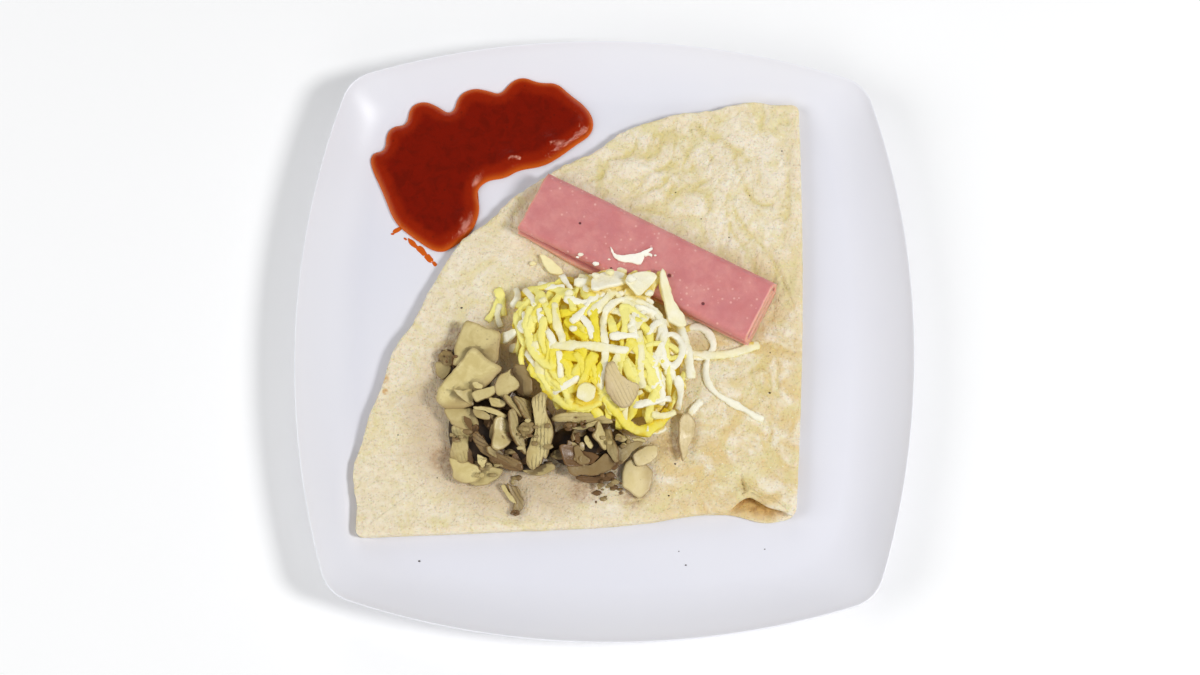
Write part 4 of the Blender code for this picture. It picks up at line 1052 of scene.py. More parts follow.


# %% [markdown]
# ## The heap of mushrooms
# Dark mounds and dark, wet scraps lie at the bottom and show only in the gaps; the mounds are painted
# nearly black, as the shade between the slices. On them lie the slices that the eye picks out, from
# the lowest to the highest: broad ones on the left, thin ones that lean on each other in the middle,
# and a curled one on the right. Crumbs of gill fill the seams. Each slice is a row of numbers: lift,
# slope, thickness, tone, gills, curl and the corners.

# %% Draw the slices of the heap
HEAP_SLICES = (
    (5.0, (0.06, 0.02), 2.4, 0.15, 0, 0.6, (
        (-66.9, -33.7), (-61.3, -33.4), (-54.6, -33.2), (-52.8, -37.2), (-51.5, -40.4), (-53.8, -42.9),
        (-58.8, -42.4), (-62.8, -40.7), (-65.8, -36.6),
    )),
    (3.6, (0.1, 0.02), 2.2, 0.25, 0.3, 0.8, (
        (-62.8, -40.4), (-58.9, -42), (-55.2, -42.9), (-56, -47.7), (-56.1, -52.2), (-56.2, -55.9),
        (-58.5, -56.8), (-61.9, -55.6), (-64.2, -53.9), (-62.3, -46), (-63.4, -42.6),
    )),
    (2.4, (0.05, 0.1), 1.8, 0.15, 0, 0.3, (
        (-55.8, -55.9), (-48.5, -56.9), (-41, -58.4), (-42.3, -61), (-45.1, -63.5), (-47.8, -65.1),
        (-52.3, -65.6), (-55.6, -64.9),
    )),
    (3.6, (-0.02, 0.12), 1.8, 0.0, 0, 0.6, (
        (-64.1, -54.1), (-60.7, -55), (-56.3, -55.6), (-51.3, -57.8), (-50.6, -59.4), (-50.9, -62.7),
        (-52.8, -64.2), (-56.1, -64.8), (-59.7, -64.3), (-62.5, -62.6), (-62.4, -59.6), (-63.7, -56.3),
    )),
    (5.8, (0.1, 0.02), 2.2, 0.05, 0, 0.5, (
        (-58.7, 4.4), (-54.7, 3.4), (-49.3, 0.7), (-43.4, -1), (-43.9, -6.7), (-44.5, -15), (-50.5, -15.8),
        (-59, -15.7), (-63.7, -15.4), (-62.5, -11.1), (-63.4, -9.1), (-61.6, -2.7),
    )),
    (7.2, (0.12, 0.06), 2.2, 0.0, 0, 0.7, (
        (-54.3, -7.9), (-51.7, -10.4), (-48.7, -13), (-44.8, -15.5), (-42.1, -17.2), (-44.7, -20.7),
        (-47.3, -23), (-50.2, -26.2), (-54.1, -28.4), (-54, -32.9), (-59.5, -33.9), (-66.3, -34),
        (-69.1, -31.7), (-70.1, -30.4), (-69.5, -25.9), (-67.2, -22.5), (-63.2, -17.7), (-58.9, -12.7),
        (-56.2, -8.6),
    )),
    (8.6, (-0.15, 0.1), 1.6, 0.15, 0, 0.3, (
        (-63.5, -26.3), (-59, -26.6), (-55.2, -25.3), (-54, -28.6), (-54.2, -33.2), (-56.1, -32.4),
        (-59.8, -29.5),
    )),
    (8.6, (0.05, 0.25), 3.2, 0.7, 0, -0.8, (
        (-39, -17.5), (-36.9, -14.9), (-33.6, -15.1), (-31.2, -17.4), (-29.8, -21.7), (-29.5, -26.1),
        (-31.1, -28.8), (-34, -28.3), (-36.8, -26.3), (-35.2, -23.6), (-36.9, -21),
    )),
    (10.4, (0, 0), 1.8, 0.05, 0, 0.2, (
        (-55, -23.9), (-53.2, -23), (-49.9, -24.9), (-50.5, -26.4), (-53.9, -26.2),
    )),
    (10.4, (0.05, -0.1), 1.8, 0.0, 0, 0.3, (
        (-55, -28.2), (-53.1, -26.9), (-47.8, -25.3), (-45.3, -24.9), (-44.9, -27.5), (-47.1, -29.8),
        (-49.9, -30.7), (-52.9, -32.1), (-54.4, -30),
    )),
    (11.0, (0.1, 0.15), 2.0, 0.08, 0, 0.5, (
        (-44.6, -22.4), (-43.4, -20.5), (-40.7, -19.3), (-38.5, -17.7), (-38.9, -20.1), (-36.6, -21.8),
        (-34.8, -24.3), (-36.1, -26.6), (-38.7, -27.6), (-41.1, -29.6), (-44, -29), (-45.3, -26.7),
        (-45.2, -24.5),
    )),
    (9.6, (0.05, -0.1), 1.6, 0.05, 0.2, 0.2, (
        (-47.9, -29.3), (-43.3, -30.2), (-40.4, -31.7), (-41, -33.5), (-44.3, -33.9), (-46.6, -33.5),
        (-47.4, -31.7),
    )),
    (8.6, (0.08, 0.1), 2.0, 0.35, 0.3, 0.2, (
        (-54.3, -34.2), (-49.9, -35), (-46.8, -37.1), (-47.2, -39), (-49.8, -38.8), (-52.6, -37.9),
        (-54, -36.1),
    )),
    (10.2, (-0.02, 0.5), 1.3, 0.05, 0, 0.0, (
        (-54.3, -33.9), (-51.4, -33.5), (-45.3, -34.4), (-40, -36.9), (-40.4, -37.9), (-44.2, -36.9),
        (-49.8, -35.2), (-53.7, -34.8),
    )),
    (7.8, (-0.45, 0.05), 2.2, 0.15, 0, 0.3, (
        (-45.3, -37.9), (-43.2, -37.1), (-40.9, -37.5), (-38.6, -41.2), (-37.5, -45.5), (-39.4, -48.8),
        (-41.8, -51.1), (-44.5, -51.9), (-46.5, -50.4), (-45.8, -45.8),
    )),
    (6.2, (-0.05, 0.35), 1.8, 0.85, 0.8, 0.4, (
        (-54.7, -44.7), (-52.3, -43.6), (-50.6, -46.3), (-48.5, -49.3), (-45.2, -51.8), (-41.8, -52.8),
        (-36.3, -54.3), (-33.3, -56.5), (-33.9, -58.7), (-37.4, -57.7), (-41.8, -55.1), (-46.8, -54.2),
        (-50.7, -52.2), (-53, -48.9),
    )),
    (4.6, (0, 0.25), 1.8, 0.95, 0.7, 0.3, (
        (-47.4, -53.2), (-43, -52.6), (-36.3, -55.3), (-32.9, -57.4), (-33.4, -59.5), (-38.4, -59.3),
        (-44, -57.5), (-47.4, -55.4),
    )),
    (5.6, (0.3, 0.2), 1.4, 0.0, 0, 0.2, (
        (-52.2, -52.4), (-50, -53.7), (-47.7, -54.8), (-48.8, -57.9), (-49.9, -58.8), (-51.8, -55.9),
    )),
    (3.6, (0.0, 0.12), 1.6, 0.35, 0.1, 0.3, (
        (-34.2, -59), (-29.6, -58.9), (-24.6, -56), (-20.1, -56.3), (-19.5, -58.3), (-23.5, -60.3),
        (-26.2, -61.4), (-30.7, -60.7),
    )),
    (9.2, (-0.8, 0.0), 1.6, 0.35, 0.5, 0.3, (
        (-39.4, -35.7), (-37.7, -34), (-36.4, -35.7), (-35.7, -40.6), (-33.5, -45.2), (-32.7, -49),
        (-32, -53.8), (-35, -50.1), (-37.4, -46.6), (-39.1, -41.7),
    )),
    (10.0, (-0.7, -0.2), 1.6, 0.55, 0.6, 0.3, (
        (-37.7, -29.3), (-33.2, -30.3), (-30.9, -30.8), (-29.7, -34), (-30.1, -39.5), (-32.8, -38.2),
        (-35.3, -33.9),
    )),
    (10.6, (-0.9, -0.3), 1.4, 0.25, 0.2, 0.2, (
        (-41.9, -28.8), (-38.7, -30), (-35.9, -34.2), (-33.9, -37.9), (-35.9, -36.9), (-38.7, -33.7),
        (-40.3, -31.7),
    )),
    (9.6, (0.2, 0.1), 2.8, 0.65, 0.3, 0.2, (
        (-35.1, -41.8), (-32.1, -39.5), (-28.7, -40.2), (-28.9, -43.6), (-30.6, -46.5), (-33.5, -45.8),
    )),
    (9.8, (0.25, 0.22), 2.2, 0.1, 0.85, 0.8, (
        (-30, -30.6), (-28.3, -29.3), (-25.4, -28), (-22.9, -29.6), (-24.1, -32.7), (-23.5, -37.1),
        (-21.8, -40.4), (-20.3, -43.8), (-21.7, -49.1), (-23.3, -55.4), (-25, -53.8), (-25.5, -57),
        (-28.3, -59.4), (-29.9, -59.2), (-31.6, -56.7), (-31.9, -52.9), (-30.3, -48.1), (-28, -43.4),
        (-28.6, -38), (-29.4, -33.6),
    )),
    (9.2, (0.0, 0.3), 2.2, 0.3, 0.25, 0.2, (
        (-22, -37.8), (-18.8, -36), (-13.7, -35.4), (-7.4, -35.1), (-1, -35.8), (2.8, -37.9), (4.5, -39.7),
        (0.7, -40.2), (-2.7, -39.3), (-9.5, -39.8), (-13.7, -39.2), (-18.8, -39.5), (-21.4, -39.1),
    )),
    (9.4, (0.1, 0.7), 1.2, 0.2, 0.3, 0.1, (
        (-13.7, -41.5), (-9.4, -41.6), (-6.1, -39.6), (-2.7, -38.9), (-1.6, -39.4), (-3.4, -40.7),
        (-6.5, -41.8), (-9.4, -42.4), (-12.4, -42.2),
    )),
    (5.6, (-0.1, 0.1), 1.8, 1.1, 0, 1.6, (
        (-18.6, -49.4), (-16.5, -48.7), (-12.3, -49), (-8.5, -51), (-4.2, -51.8), (-1.3, -53.4),
        (-4.2, -56.2), (-8.4, -57.3), (-12.6, -57.9), (-15.6, -57.6), (-17.1, -53.8),
    )),
    (5.6, (0.04, 0.18), 1.8, 0.8, 0, 0.5, (
        (-15.5, -57.1), (-12.2, -57.7), (-8.4, -57), (-5, -56.9), (-1.3, -54), (1, -51.9), (3.5, -54),
        (6.2, -57), (3.4, -58.8), (-0.8, -60.8), (-5, -61.3), (-9.2, -60.7), (-12.1, -61.5), (-14.4, -60),
    )),
    (2.8, (0.0, 0.3), 1.8, 1.05, 0.3, 0.2, (
        (-11.8, -61.8), (-9.2, -60.7), (-5, -61.2), (-0.8, -60.7), (3.4, -58.7), (5.2, -60.6),
        (5.7, -62.4), (1.4, -63), (-2.4, -63.8), (-7.5, -63.8),
    )),
    (6.8, (-0.08, 0.2), 1.8, 0.55, 0.1, 0.5, (
        (5.5, -49.1), (9.6, -47.7), (13.9, -46.7), (16.9, -47.5), (16, -48.5), (11.9, -51), (10.6, -53.5),
        (7.6, -56.2), (5.9, -57), (4.9, -53.7),
    )),
    (6.6, (0.1, 0.2), 1.8, 0.8, 0, 0.3, (
        (-12.4, -49.5), (-10.3, -48.7), (-9.2, -51.3), (-7.9, -53), (-5.4, -54.6), (-5.9, -56.4),
        (-9.2, -57.2), (-11.4, -55.4),
    )),
    (7.6, (0.3, 0.2), 1.6, 0.05, 0, 0.2, (
        (-8, -45.9), (-6.9, -44.5), (-5.1, -47.1), (-3.9, -49.3), (-5.1, -50.5), (-7.2, -48),
    )),
    (8.4, (0.7, 0.1), 1.6, 0.5, 0.2, 0.3, (
        (-0.3, -41.9), (2.8, -42), (3.4, -44.3), (4.6, -47.4), (6, -50.5), (6.2, -56.1), (5.1, -56.6),
        (3.4, -53.9), (1.2, -50.3), (0.7, -46.9), (0.2, -43.9),
    )),
    (9.4, (-0.8, 0.2), 1.6, 0.0, 0.25, 0.4, (
        (-2.3, -39), (-0.9, -41.4), (0.4, -44.1), (0.7, -47), (0.7, -51.3), (-0.9, -49.8), (-2.6, -47.6),
        (-4.6, -45.8), (-3.5, -42.7),
    )),
    (8.2, (0.0, 0.6), 1.3, 0.05, 0.3, 0.1, (
        (4.7, -44.6), (7.5, -44.7), (10.5, -45.3), (11, -46.3), (7.5, -47.1), (5.7, -46.3),
    )),
    (7.6, (0.0, 0.6), 1.3, 0.1, 0.4, 0.1, (
        (11.7, -45.8), (14.3, -45.4), (17.2, -46.3), (17.4, -47.2), (14.3, -47), (12, -46.7),
    )),
)
print(len(HEAP_SLICES), "slices in the heap")

# %% Heap the mushrooms
SHADE_MOUNDS = (
    ((-57, -17), (10, 14, 4.0)), ((-52, -41), (13, 18, 5.0)), ((-33, -43), (13, 16, 5.6)),
    ((-6, -48), (17, 10, 4.2)),
)
SCRAP_FIELDS = (
    (-47, -42, 11, 15, 34), (-30, -45, 8, 12, 22), (-5, -48, 13, 8, 26), (-57, -14, 6, 8, 6),
)
mushrooms = Batch()
for centre, radii in SHADE_MOUNDS:
    rings = []
    for lift, places in dome(9, 40):
        ring = []
        for across, ahead in places:
            x, y = (centre[0] + radii[0] * across) * MM, (centre[1] + radii[1] * ahead) * MM
            bumps = 0.9 * rough(x, y, 0.004, 2.0) * lift
            ring.append((x, y, crepe_top(x, y) + (radii[2] * lift + bumps) * MM))
        rings.append(ring)
    # painted shade: tone 1.45 makes the mounds nearly black
    mushrooms.add(*skin(rings), tone=1.45, gill=0.0, rim=0.0, across=0.0)
    for ring in rings:
        for x, y, z in ring:
            pile.raise_to(x, y, 1.5 * MM, z)

draw = random.Random(11)
for x, y, wide, deep, count in SCRAP_FIELDS:
    for _ in range(count):
        spot = Vector((x + draw.uniform(-wide, wide), y + draw.uniform(-deep, deep)))
        size, heading = draw.uniform(2.2, 4.6), draw.uniform(0, math.pi)
        scrap = []
        for k in range(6):
            turn = 2 * math.pi * (k + draw.uniform(-0.25, 0.25)) / 6
            corner = Vector((size * math.cos(turn), 0.55 * size * math.sin(turn)))
            scrap.append(spot + turned(corner * draw.uniform(0.75, 1.2), heading))
        level = (pile.height(*(spot * MM), 0.6 * MM) - crepe_top(*(spot * MM))) / MM
        lean = (draw.uniform(-0.8, 0.5), draw.uniform(-0.4, 0.6))
        thickness, tone, gill = draw.uniform(1.0, 1.6), draw.uniform(0.4, 1.2), draw.random() * 0.6
        lying(mushrooms, scrap, min(level, 7.0) - 0.4, lean, thickness, tone, gill)
for lift, slope, thickness, tone, gill, curl, corners in HEAP_SLICES:
    lying(mushrooms, corners, lift, slope, thickness, tone, gill, 1.8 * curl)

# %% Strew crumbs of gill over the seams
CRUMB_FIELDS = (
    (1, -65.5, 6, 22, (0.6, 1.2)), (-28, -47, 10, 14, (0.2, 1.0)), (-12, -42, 6, 12, (0.8, 1.3)),
    (-60, -45, 5, 10, (0.5, 1.0)), (-47, -60, 7, 8, (0.1, 0.8)), (6, -47, 6, 10, (0.2, 0.9)),
    (-66, -12, 3, 6, (0.8, 1.2)), (-36, -62, 5, 5, (0.3, 0.9)),
)
draw = random.Random(5)
for x, y, reach, count, tones in CRUMB_FIELDS:
    for _ in range(count):
        px, py = (x + draw.gauss(0, reach / 2)) * MM, (y + draw.gauss(0, reach / 3.2)) * MM
        level = pile.height(px, py, 0.6 * MM)
        size = draw.uniform(0.45, 1.25)
        radii = (size * draw.uniform(0.7, 1.9), size, size * 0.6)
        tone, seed = draw.uniform(*tones), draw.random() * 9
        lump(mushrooms, (px, py, level + size * 0.25 * MM), radii, tone, seed, 8, 5)
# How deep each point lies, for the painted shade of the mushroom finish.
mushrooms.marks["buried"] = how_buried(mushrooms, 4.5)
mushrooms.piece("mushroom_heap", flesh_finish, "mushroom_flesh", "mushrooms")

# %% [markdown]
# ## Slices that lie by themselves
# A few slices fell beside the heap. Each is a piece of its own, so it can be moved.

# %% Lay the loose slices
batch = Batch()
lying(batch, (
    (7.8, -58.8), (8.9, -55.7), (10.6, -54), (12.1, -53.4), (13.6, -56.5), (17.9, -55.1), (20.8, -58.5),
    (20.4, -62.8), (19.4, -66.7), (15.2, -70.3), (11.2, -67.4), (7.8, -64.8),
), 1.5, (-0.04, 0.02), 1.8, 0.0, 0, 0.3)
lying(batch, (
    (11.7, -52.4), (14.2, -49.9), (18.2, -47.8), (22.5, -47.4), (22.9, -51.7), (19.1, -55.7),
    (13.7, -57.1),
), 2.6, (-0.1, 0.0), 1.6, 0.0, 0, 0.4)
batch.piece("mushroom_round_slice", pale_finish, "mushroom_pale", "mushroom_round")
batch = Batch()
lying(batch, (
    (31.6, -37), (33, -34), (36, -34), (38.6, -37), (38.4, -41), (37, -45), (35.4, -48),
    (34.6, -52), (33, -55), (31.8, -50), (31.2, -42),
), 2.5, (-0.34, 0.0), 1.8, 0.12, 0.12, 0.5)
batch.piece("mushroom_thin_slice", pale_finish, "mushroom_pale", "mushroom_sliver")
batch = Batch()
lying(batch, (
    (-40, -64.4), (-38.2, -65.3), (-35.5, -65.4), (-32.8, -70), (-32.4, -72.7), (-33.6, -75),
    (-36, -77.4), (-37.4, -75.6), (-36, -72.3), (-37.7, -70.2), (-38.9, -67),
), 1.8, (-0.2, 0.2), 1.6, 0.7, 0.7, 0.3)
lying(batch, (
    (-42.4, -64.9), (-40.6, -64.7), (-38.9, -67.5), (-36, -71.5), (-35.5, -73.1), (-37.1, -72.4),
    (-38.8, -70.7), (-41, -67.4),
), 2.2, (0.5, 0.3), 1.2, 0.0, 0.0, 0.2)
for k in range(7):
    spot = over_crepe(-36.2 + 1.3 * math.cos(k * 2.4), -76.6 + 0.8 * math.sin(k * 2.4), 1.9)
    lump(batch, spot, (0.8, 0.6, 0.5), 1.1, k)
batch.piece("mushroom_front_slice", flesh_finish, "mushroom_pale", "mushroom_front")
batch = Batch()
lying(batch, (
    (-71.5, -12.9), (-68.4, -12.3), (-64.1, -14.7), (-64.3, -16.7), (-67.6, -21), (-70.8, -18.1),
), 1.4, (0.1, 0.0), 1.6, 0.45, 0.0, 0.2)
lying(batch, (
    (-70.2, -10.2), (-67.9, -8), (-64.5, -8.5), (-62.8, -11), (-63.9, -15.2), (-66.6, -14.4),
    (-68.9, -12.8),
), 2.6, (0.2, 0.1), 1.8, 0.75, 0.3, 0.2)
for k in range(12):
    spot = over_crepe(-66.4 + 1.9 * math.cos(k * 2.4), -9.4 + 1.4 * math.sin(k * 2.4), 3.0)
    lump(batch, spot, (0.8, 0.6, 0.6), 1.3 if k % 2 else 0.5, k)
batch.piece("mushroom_chip_slice", flesh_finish, "mushroom_pale", "mushroom_chip")

# %% [markdown]
# ## Cheese colours
# Two cheeses were grated together: a lemon yellow one and a nearly white one. Light soaks into real
# cheese, so the shadows between the strands stay warm. Scattering in the shader goes wrong where
# strands cross inside one mesh, so a faint glow in the cheese's own colour stands for it. Each strand
# gets its own shade from a random number that Blender gives to every loose body of a mesh. Its lit
# top is painted paler, as light, and where it is buried it is painted towards a warm shadow colour,
# as shade. In the middle of the heap the yellow is deeper and this painted shade is stronger.

# %% Mix the two cheeses
def cheese_finish(name, shadow, deep, bright, warmth=0.0):
    made = Finish(name, Emission_Strength=0.12, Specular_IOR_Level=0.30)
    shade = made.each()
    flow = made.cloud(3.2, 3, 0.55)
    drift = made.cloud(9, 2, 0.5)
    # The middle of the heap gets a deeper yellow and a stronger painted shade.
    golden = made.near((-11, -9, 26), 23)
    # painted light: the lit top of each strand is paler
    paleness = shade * 0.45 + flow * 0.3 + drift * 0.4 + made.mark("crown") * 0.25 - golden * warmth
    colour = made.mix(made.between(paleness, 0.40, 0.92), deep, bright)
    # painted shade: buried parts are mixed towards the shadow colour
    share = made.between(made.mark("buried"), 0.08, 0.72) * (0.80 + 0.20 * golden)
    colour = made.mix(share, colour, shadow)
    curd = made.cloud(0.8, 3, 0.6)
    bumpy = made.relief(flow, 0.5, made.relief(curd, 0.12))
    return made.wear(colour, 0.34 + 0.22 * flow, bumpy, colour)


yellow_finish = cheese_finish("yellow cheese", (222, 190, 32), (231, 213, 62), (236, 227, 136), 0.38)
white_finish = cheese_finish("white cheese", (226, 200, 74), (232, 222, 154), (239, 235, 214), 0.08)
flake_finish = cheese_finish("flaked cheese", (234, 222, 180), (239, 231, 204), (245, 242, 230))
grain_finish = cheese_finish("cream cheese", (214, 196, 120), (228, 214, 150), (240, 230, 178))

# %% Lay a strand over the pile
STRAND_RING = [(math.cos(math.pi * (k + 0.5) / 5), math.sin(math.pi * (k + 0.5) / 5)) for k in range(10)]
STRAND_STIFFNESS, STRAND_SINK = 0.07, 0.7


def lay_strand(batch, way, width, height):
    """A grated strand along (x, y) in mm, resting on the pile and raising it."""
    line = cut_corners([Vector((x * MM, y * MM)) for x, y in way], 3, closed=False)
    length = sum((b - a).length for a, b in zip(line, line[1:]))
    count = max(7, int(length / (0.85 * MM)))
    line = evenly_spaced(line, count, closed=False)
    ground = []
    for p in line:
        under = max(dome_height(p.x, p.y, CHEESE_REACH), ham_top(p.x, p.y) + 0.3 * MM, 0.6 * MM)
        ground.append(min(pile.height(p.x, p.y, width * 0.30 * MM), crepe_top(p.x, p.y) + under))
    level = list(ground)
    for _ in range(60):
        for i in range(1, count - 1):
            level[i] = max(ground[i], (level[i - 1] + level[i + 1]) / 2 - STRAND_STIFFNESS * MM)
    rings, lit_tops = [], []
    for i, point in enumerate(line):
        end = min(i, count - 1 - i)
        size = (0.72, 0.95)[end] if end < 2 else 1.0
        wide = width * size * (1 + 0.45 * noise.noise(Vector((length * 900, i * 0.17, 0))))
        tall = height * size * (1 + 0.18 * noise.noise(Vector((length * 700, i * 0.3, 5))))
        centre = Vector((point.x, point.y, level[i] + (height / 2 - STRAND_SINK) * MM))
        after, before = min(i + 1, count - 1), max(i - 1, 0)
        along = Vector((*(line[after] - line[before]), level[after] - level[before])).normalized()
        side = along.cross(Vector((0, 0, 1))).normalized()
        rise = side.cross(along)
        twist = 0.6 * noise.noise(Vector((length * 500, i * 0.12, 9)))
        ring = []
        for cos, sin in STRAND_RING:
            nub = 1 + 0.30 * noise.noise(Vector((cos * 1.2, sin * 1.2, i * 0.7 + length * 800)))
            a = math.copysign(abs(cos) ** 0.42, cos) * wide / 2 * MM * nub
            b = math.copysign(abs(sin) ** 0.42, sin) * tall / 2 * MM * nub
            a, b = a * math.cos(twist) - b * math.sin(twist), a * math.sin(twist) + b * math.cos(twist)
            ring.append(centre + side * a + rise * b)
            # The lit top mark, 1 on the strand's upper face, drives the painted light.
            lit_tops.append(smooth_step(0.1, 1.0, 2 * b / (height * MM)))
        rings.append(ring)
        pile.raise_to(point.x, point.y, width * 0.36 * MM, centre.z + tall / 2 * MM - 0.1 * MM)
    batch.add(*skin(rings), crown=lit_tops + [0.5, 0.5])


# %% [markdown]
# ## The heap of cheese
# A low core fills the middle. Short strands lie over it in all directions, mostly yellow on the left
# and white on the right and at the back. Over them go the strands that stand out: the long white
# loops, the curl and the two tails on the right, and the thick yellow strands along the front.

# %% Build the core
yellow, white = Batch(), Batch()
rings = []
for lift, places in dome(12, 72):
    ring = []
    for across, ahead in places:
        spot = Vector((CHEESE_CORE[0] * across, CHEESE_CORE[1] * ahead)) * 0.97
        spot = CHEESE_CENTRE + turned(spot, CHEESE_HEADING)
        bumps = 0.8 * rough(spot.x, spot.y, 0.0035, 6.0) * lift
        level = crepe_top(spot.x, spot.y) + 0.2 * MM + CHEESE_CORE[2] * lift
        ring.append((spot.x, spot.y, level + (bumps - 0.9) * MM * lift))
    rings.append(ring)
yellow.add(*skin(rings))

# %% Lay the short strands over the core
FILLING_REACH = (0.0385, 0.0275)
FULL_LENGTH_REACH = (0.0425, 0.0310, 1.0)
draw = random.Random(23)
golden_angle = math.pi * (3 - math.sqrt(5))
for layer, (count, reach) in enumerate(((96, 1.0), (62, 0.88))):
    for i in range(count):
        far = math.sqrt((i + 0.5) / count) * reach
        turn = golden_angle * i + layer
        spot = Vector((FILLING_REACH[0] * math.cos(turn), FILLING_REACH[1] * math.sin(turn))) * far
        spot = (CHEESE_CENTRE + turned(spot, CHEESE_HEADING)) / MM
        heading = math.pi / 2 + draw.gauss(0, 0.75)
        curl = draw.uniform(-0.6, 0.6)
        step = draw.uniform(3.0, 5.5)
        way = []
        for k in (-2, -1, 0, 1, 2):
            turn = heading + curl * k * 0.5
            way.append((spot.x + step * k * math.cos(turn), spot.y + step * k * math.sin(turn)))
        on_ham = any(ham_top(x * MM, y * MM) > 0 for x, y in way)
        outside = any(dome_height(x * MM, y * MM, FULL_LENGTH_REACH) <= 0 for x, y in way)
        if on_ham or outside:
            way = [(spot.x + (x - spot.x) * 0.5, spot.y + (y - spot.y) * 0.5) for x, y in way]
        if any(ham_top(x * MM, y * MM) > 0 for x, y in way):
            continue
        by_ham = smooth_step(-0.034, -0.020, ham_frame(spot.x * MM, spot.y * MM)[1])
        whiteness = smooth_step(-2, 24, spot.x + 0.6 * spot.y) * 0.60 + 0.10 + 0.5 * by_ham
        target = white if draw.random() < whiteness else yellow
        lay_strand(target, way, draw.uniform(2.0, 4.0), draw.uniform(1.3, 1.9))
print("highest after the filling:", round(pile.top.max() / MM, 1), "mm")

# %% Lay the strands that stand out
YELLOW_STRANDS = (
    ((-28, 16), (-24, 8), (-22, 1)), ((-37, 7), (-36, -1), (-33, -8)),
    ((-16, 3), (-12, -3), (-7, -6)), ((-5, 8), (-4, 0), (-3, -8)),
    ((-12, -12), (-9, -16), (-8, -21)), ((8, 9), (8.6, 3), (8, -3.5)),
    ((14, -6), (17, -12), (22, -18), (23, -25)), ((-44, 16), (-47, 10), (-50, 5.6)),
    ((-46, 20), (-43.5, 14), (-43, 8)),
    ((-36, 17), (-28, 17.5), (-21, 19)), ((26, -4), (25, -9), (26.4, -14)), ((8, -15), (10, -20), (12, -24)),
    ((-25, 4), (-26.5, -5), (-24, -12)), ((-18, 16), (-14, 12), (-13, 6)), ((6, 8), (12, 7.4), (17, 3)),
    ((-39, 13), (-34, 9), (-31, 12)), ((-20, -13), (-22, -18), (-19, -22)), ((2, -13), (-2, -18), (-3, -25)),
)
THICK_YELLOW = (
    ((-31, 9), (-32.5, -2), (-30, -9), (-26, -15), (-20, -18)), ((-4, -12), (-6.5, -18), (-9.5, -26)),
    ((-31, -16.5), (-26, -21.5), (-21, -29), (-15, -33), (-8, -33.5), (-1, -31.5)),
    ((0, -29.5), (4, -34), (8, -39), (13, -42), (18, -42), (23, -39), (27, -33)),
)
WHITE_STRANDS = (
    ((-21, 10), (-20.5, 2), (-18, -4), (-17, -9)), ((-14, 1), (-9, 6), (-5, 13)),
    ((-38, 20), (-36.5, 15), (-39, 10.5)),
    ((-34, 18), (-30, 12), (-29, 9)), ((-33, 3), (-35.5, 1), (-33, -2)),
    ((-17, 12), (-11, 10), (-5, 10.5)),
    ((14, -2), (15.5, -10), (15, -20), (16, -26)), ((20, -12), (21, -20), (24, -26), (24, -32)),
    ((30, -20), (32.4, -26), (31, -32)), ((12, -33), (20, -31), (28, -29)),
    ((-19, -11), (-18, -16), (-18, -22)), ((-22, -28), (-16, -25), (-10, -22)),
    ((35, -36), (38, -31), (41, -28)), ((26, -39.5), (22, -42), (18, -41)),
    ((6, -12), (4, -19), (6, -27)), ((-28, 20), (-22, 17), (-17, 17.5)), ((-10, 4), (-6, -1), (-5, -6)),
    ((-24, -2), (-21, -6), (-23, -10)), ((30, -34), (25, -36), (20, -36)), ((-44, 3), (-46, 8), (-44.5, 13)),
    ((2, -5), (8, -4.4), (14, -4)), ((10.5, -3), (14, 1.4), (18, 5)), ((-9, 17.4), (-4, 14), (0, 13.6)),
    ((24, -4), (28, -1.5), (32, -4), (33, -9), (30.4, -15), (26.5, -17), (24, -12), (23.6, -6)),
    ((-2, -27), (1, -12), (-1, 0), (0, 6), (4, 11), (10, 12.5), (16, 11.5), (21, 8), (24.5, 2),
     (25, -5), (22, -12), (20, -17)),
    ((33, 2), (38, 4.5), (43, 3), (46, -2), (46, -6), (43, -9), (38, -10), (33, -9)),
)
THICK_WHITE = (
    ((-13, 20), (-8, 19.5), (-3, 18.6), (2, 15)), ((2, 17), (8, 19.5), (13, 18), (18, 13)),
    ((8, 16), (14, 15), (20, 11)),
    ((-22, -8.4), (-18, -9.2), (-10, -8.5), (0, -10), (10, -11)),
    ((36, -9), (45, -8.6), (52, -8), (58, -6.4), (65.5, -3.4)),
)
OVER_THE_HAM = (
    ((-9, 19), (-4, 23.5), (3, 26), (9, 25)), ((12, 18), (14.5, 23), (19.5, 25)),
    ((17, 14), (19.5, 19.5), (22, 24)),
    ((4, 17), (8, 22), (14, 25)),
    ((23.4, 26), (25, 19), (27, 12), (30, 5), (33.4, -2), (35, -10), (36.4, -20)),
)
WHITE_CHUNKS = (
    (0.2, 1.7, (
        (-5.9, 20.2), (-3.6, 22.7), (0.1, 24.7), (4.4, 25.2), (8.6, 23.8), (11, 22.4), (9.1, 19.4),
        (5.4, 17.9), (0.2, 16.9), (-3.5, 14.9), (-5.9, 15.4),
    )),
    (0.3, 1.6, (
        (9.1, 21.8), (12.4, 23.8), (16.6, 25.1), (19.9, 24.9), (22.2, 23), (19.9, 20), (15.7, 14.6),
        (13.4, 13.6), (10.5, 17), (8.2, 19.4),
    )),
    (0.4, 1.8, (
        (24.1, 26.9), (26, 21.6), (28.4, 13.3), (30.7, 10.4), (34, 5.6), (34.4, 2.7), (31.2, 1.7),
        (26.5, 3.6), (25.6, 8.4), (24.1, 15.7), (22.7, 23),
    )),
)
TAIL = (
    (44, -8.6), (42.5, -14), (43, -19), (46, -24), (52, -28), (58, -31), (64, -35), (67, -36),
)
FRONT_CHUNK = ((-11, -26.4), (-7.4, -24.2), (-3.2, -26.6), (-3.8, -30.8), (-7, -32.2), (-11.4, -30))
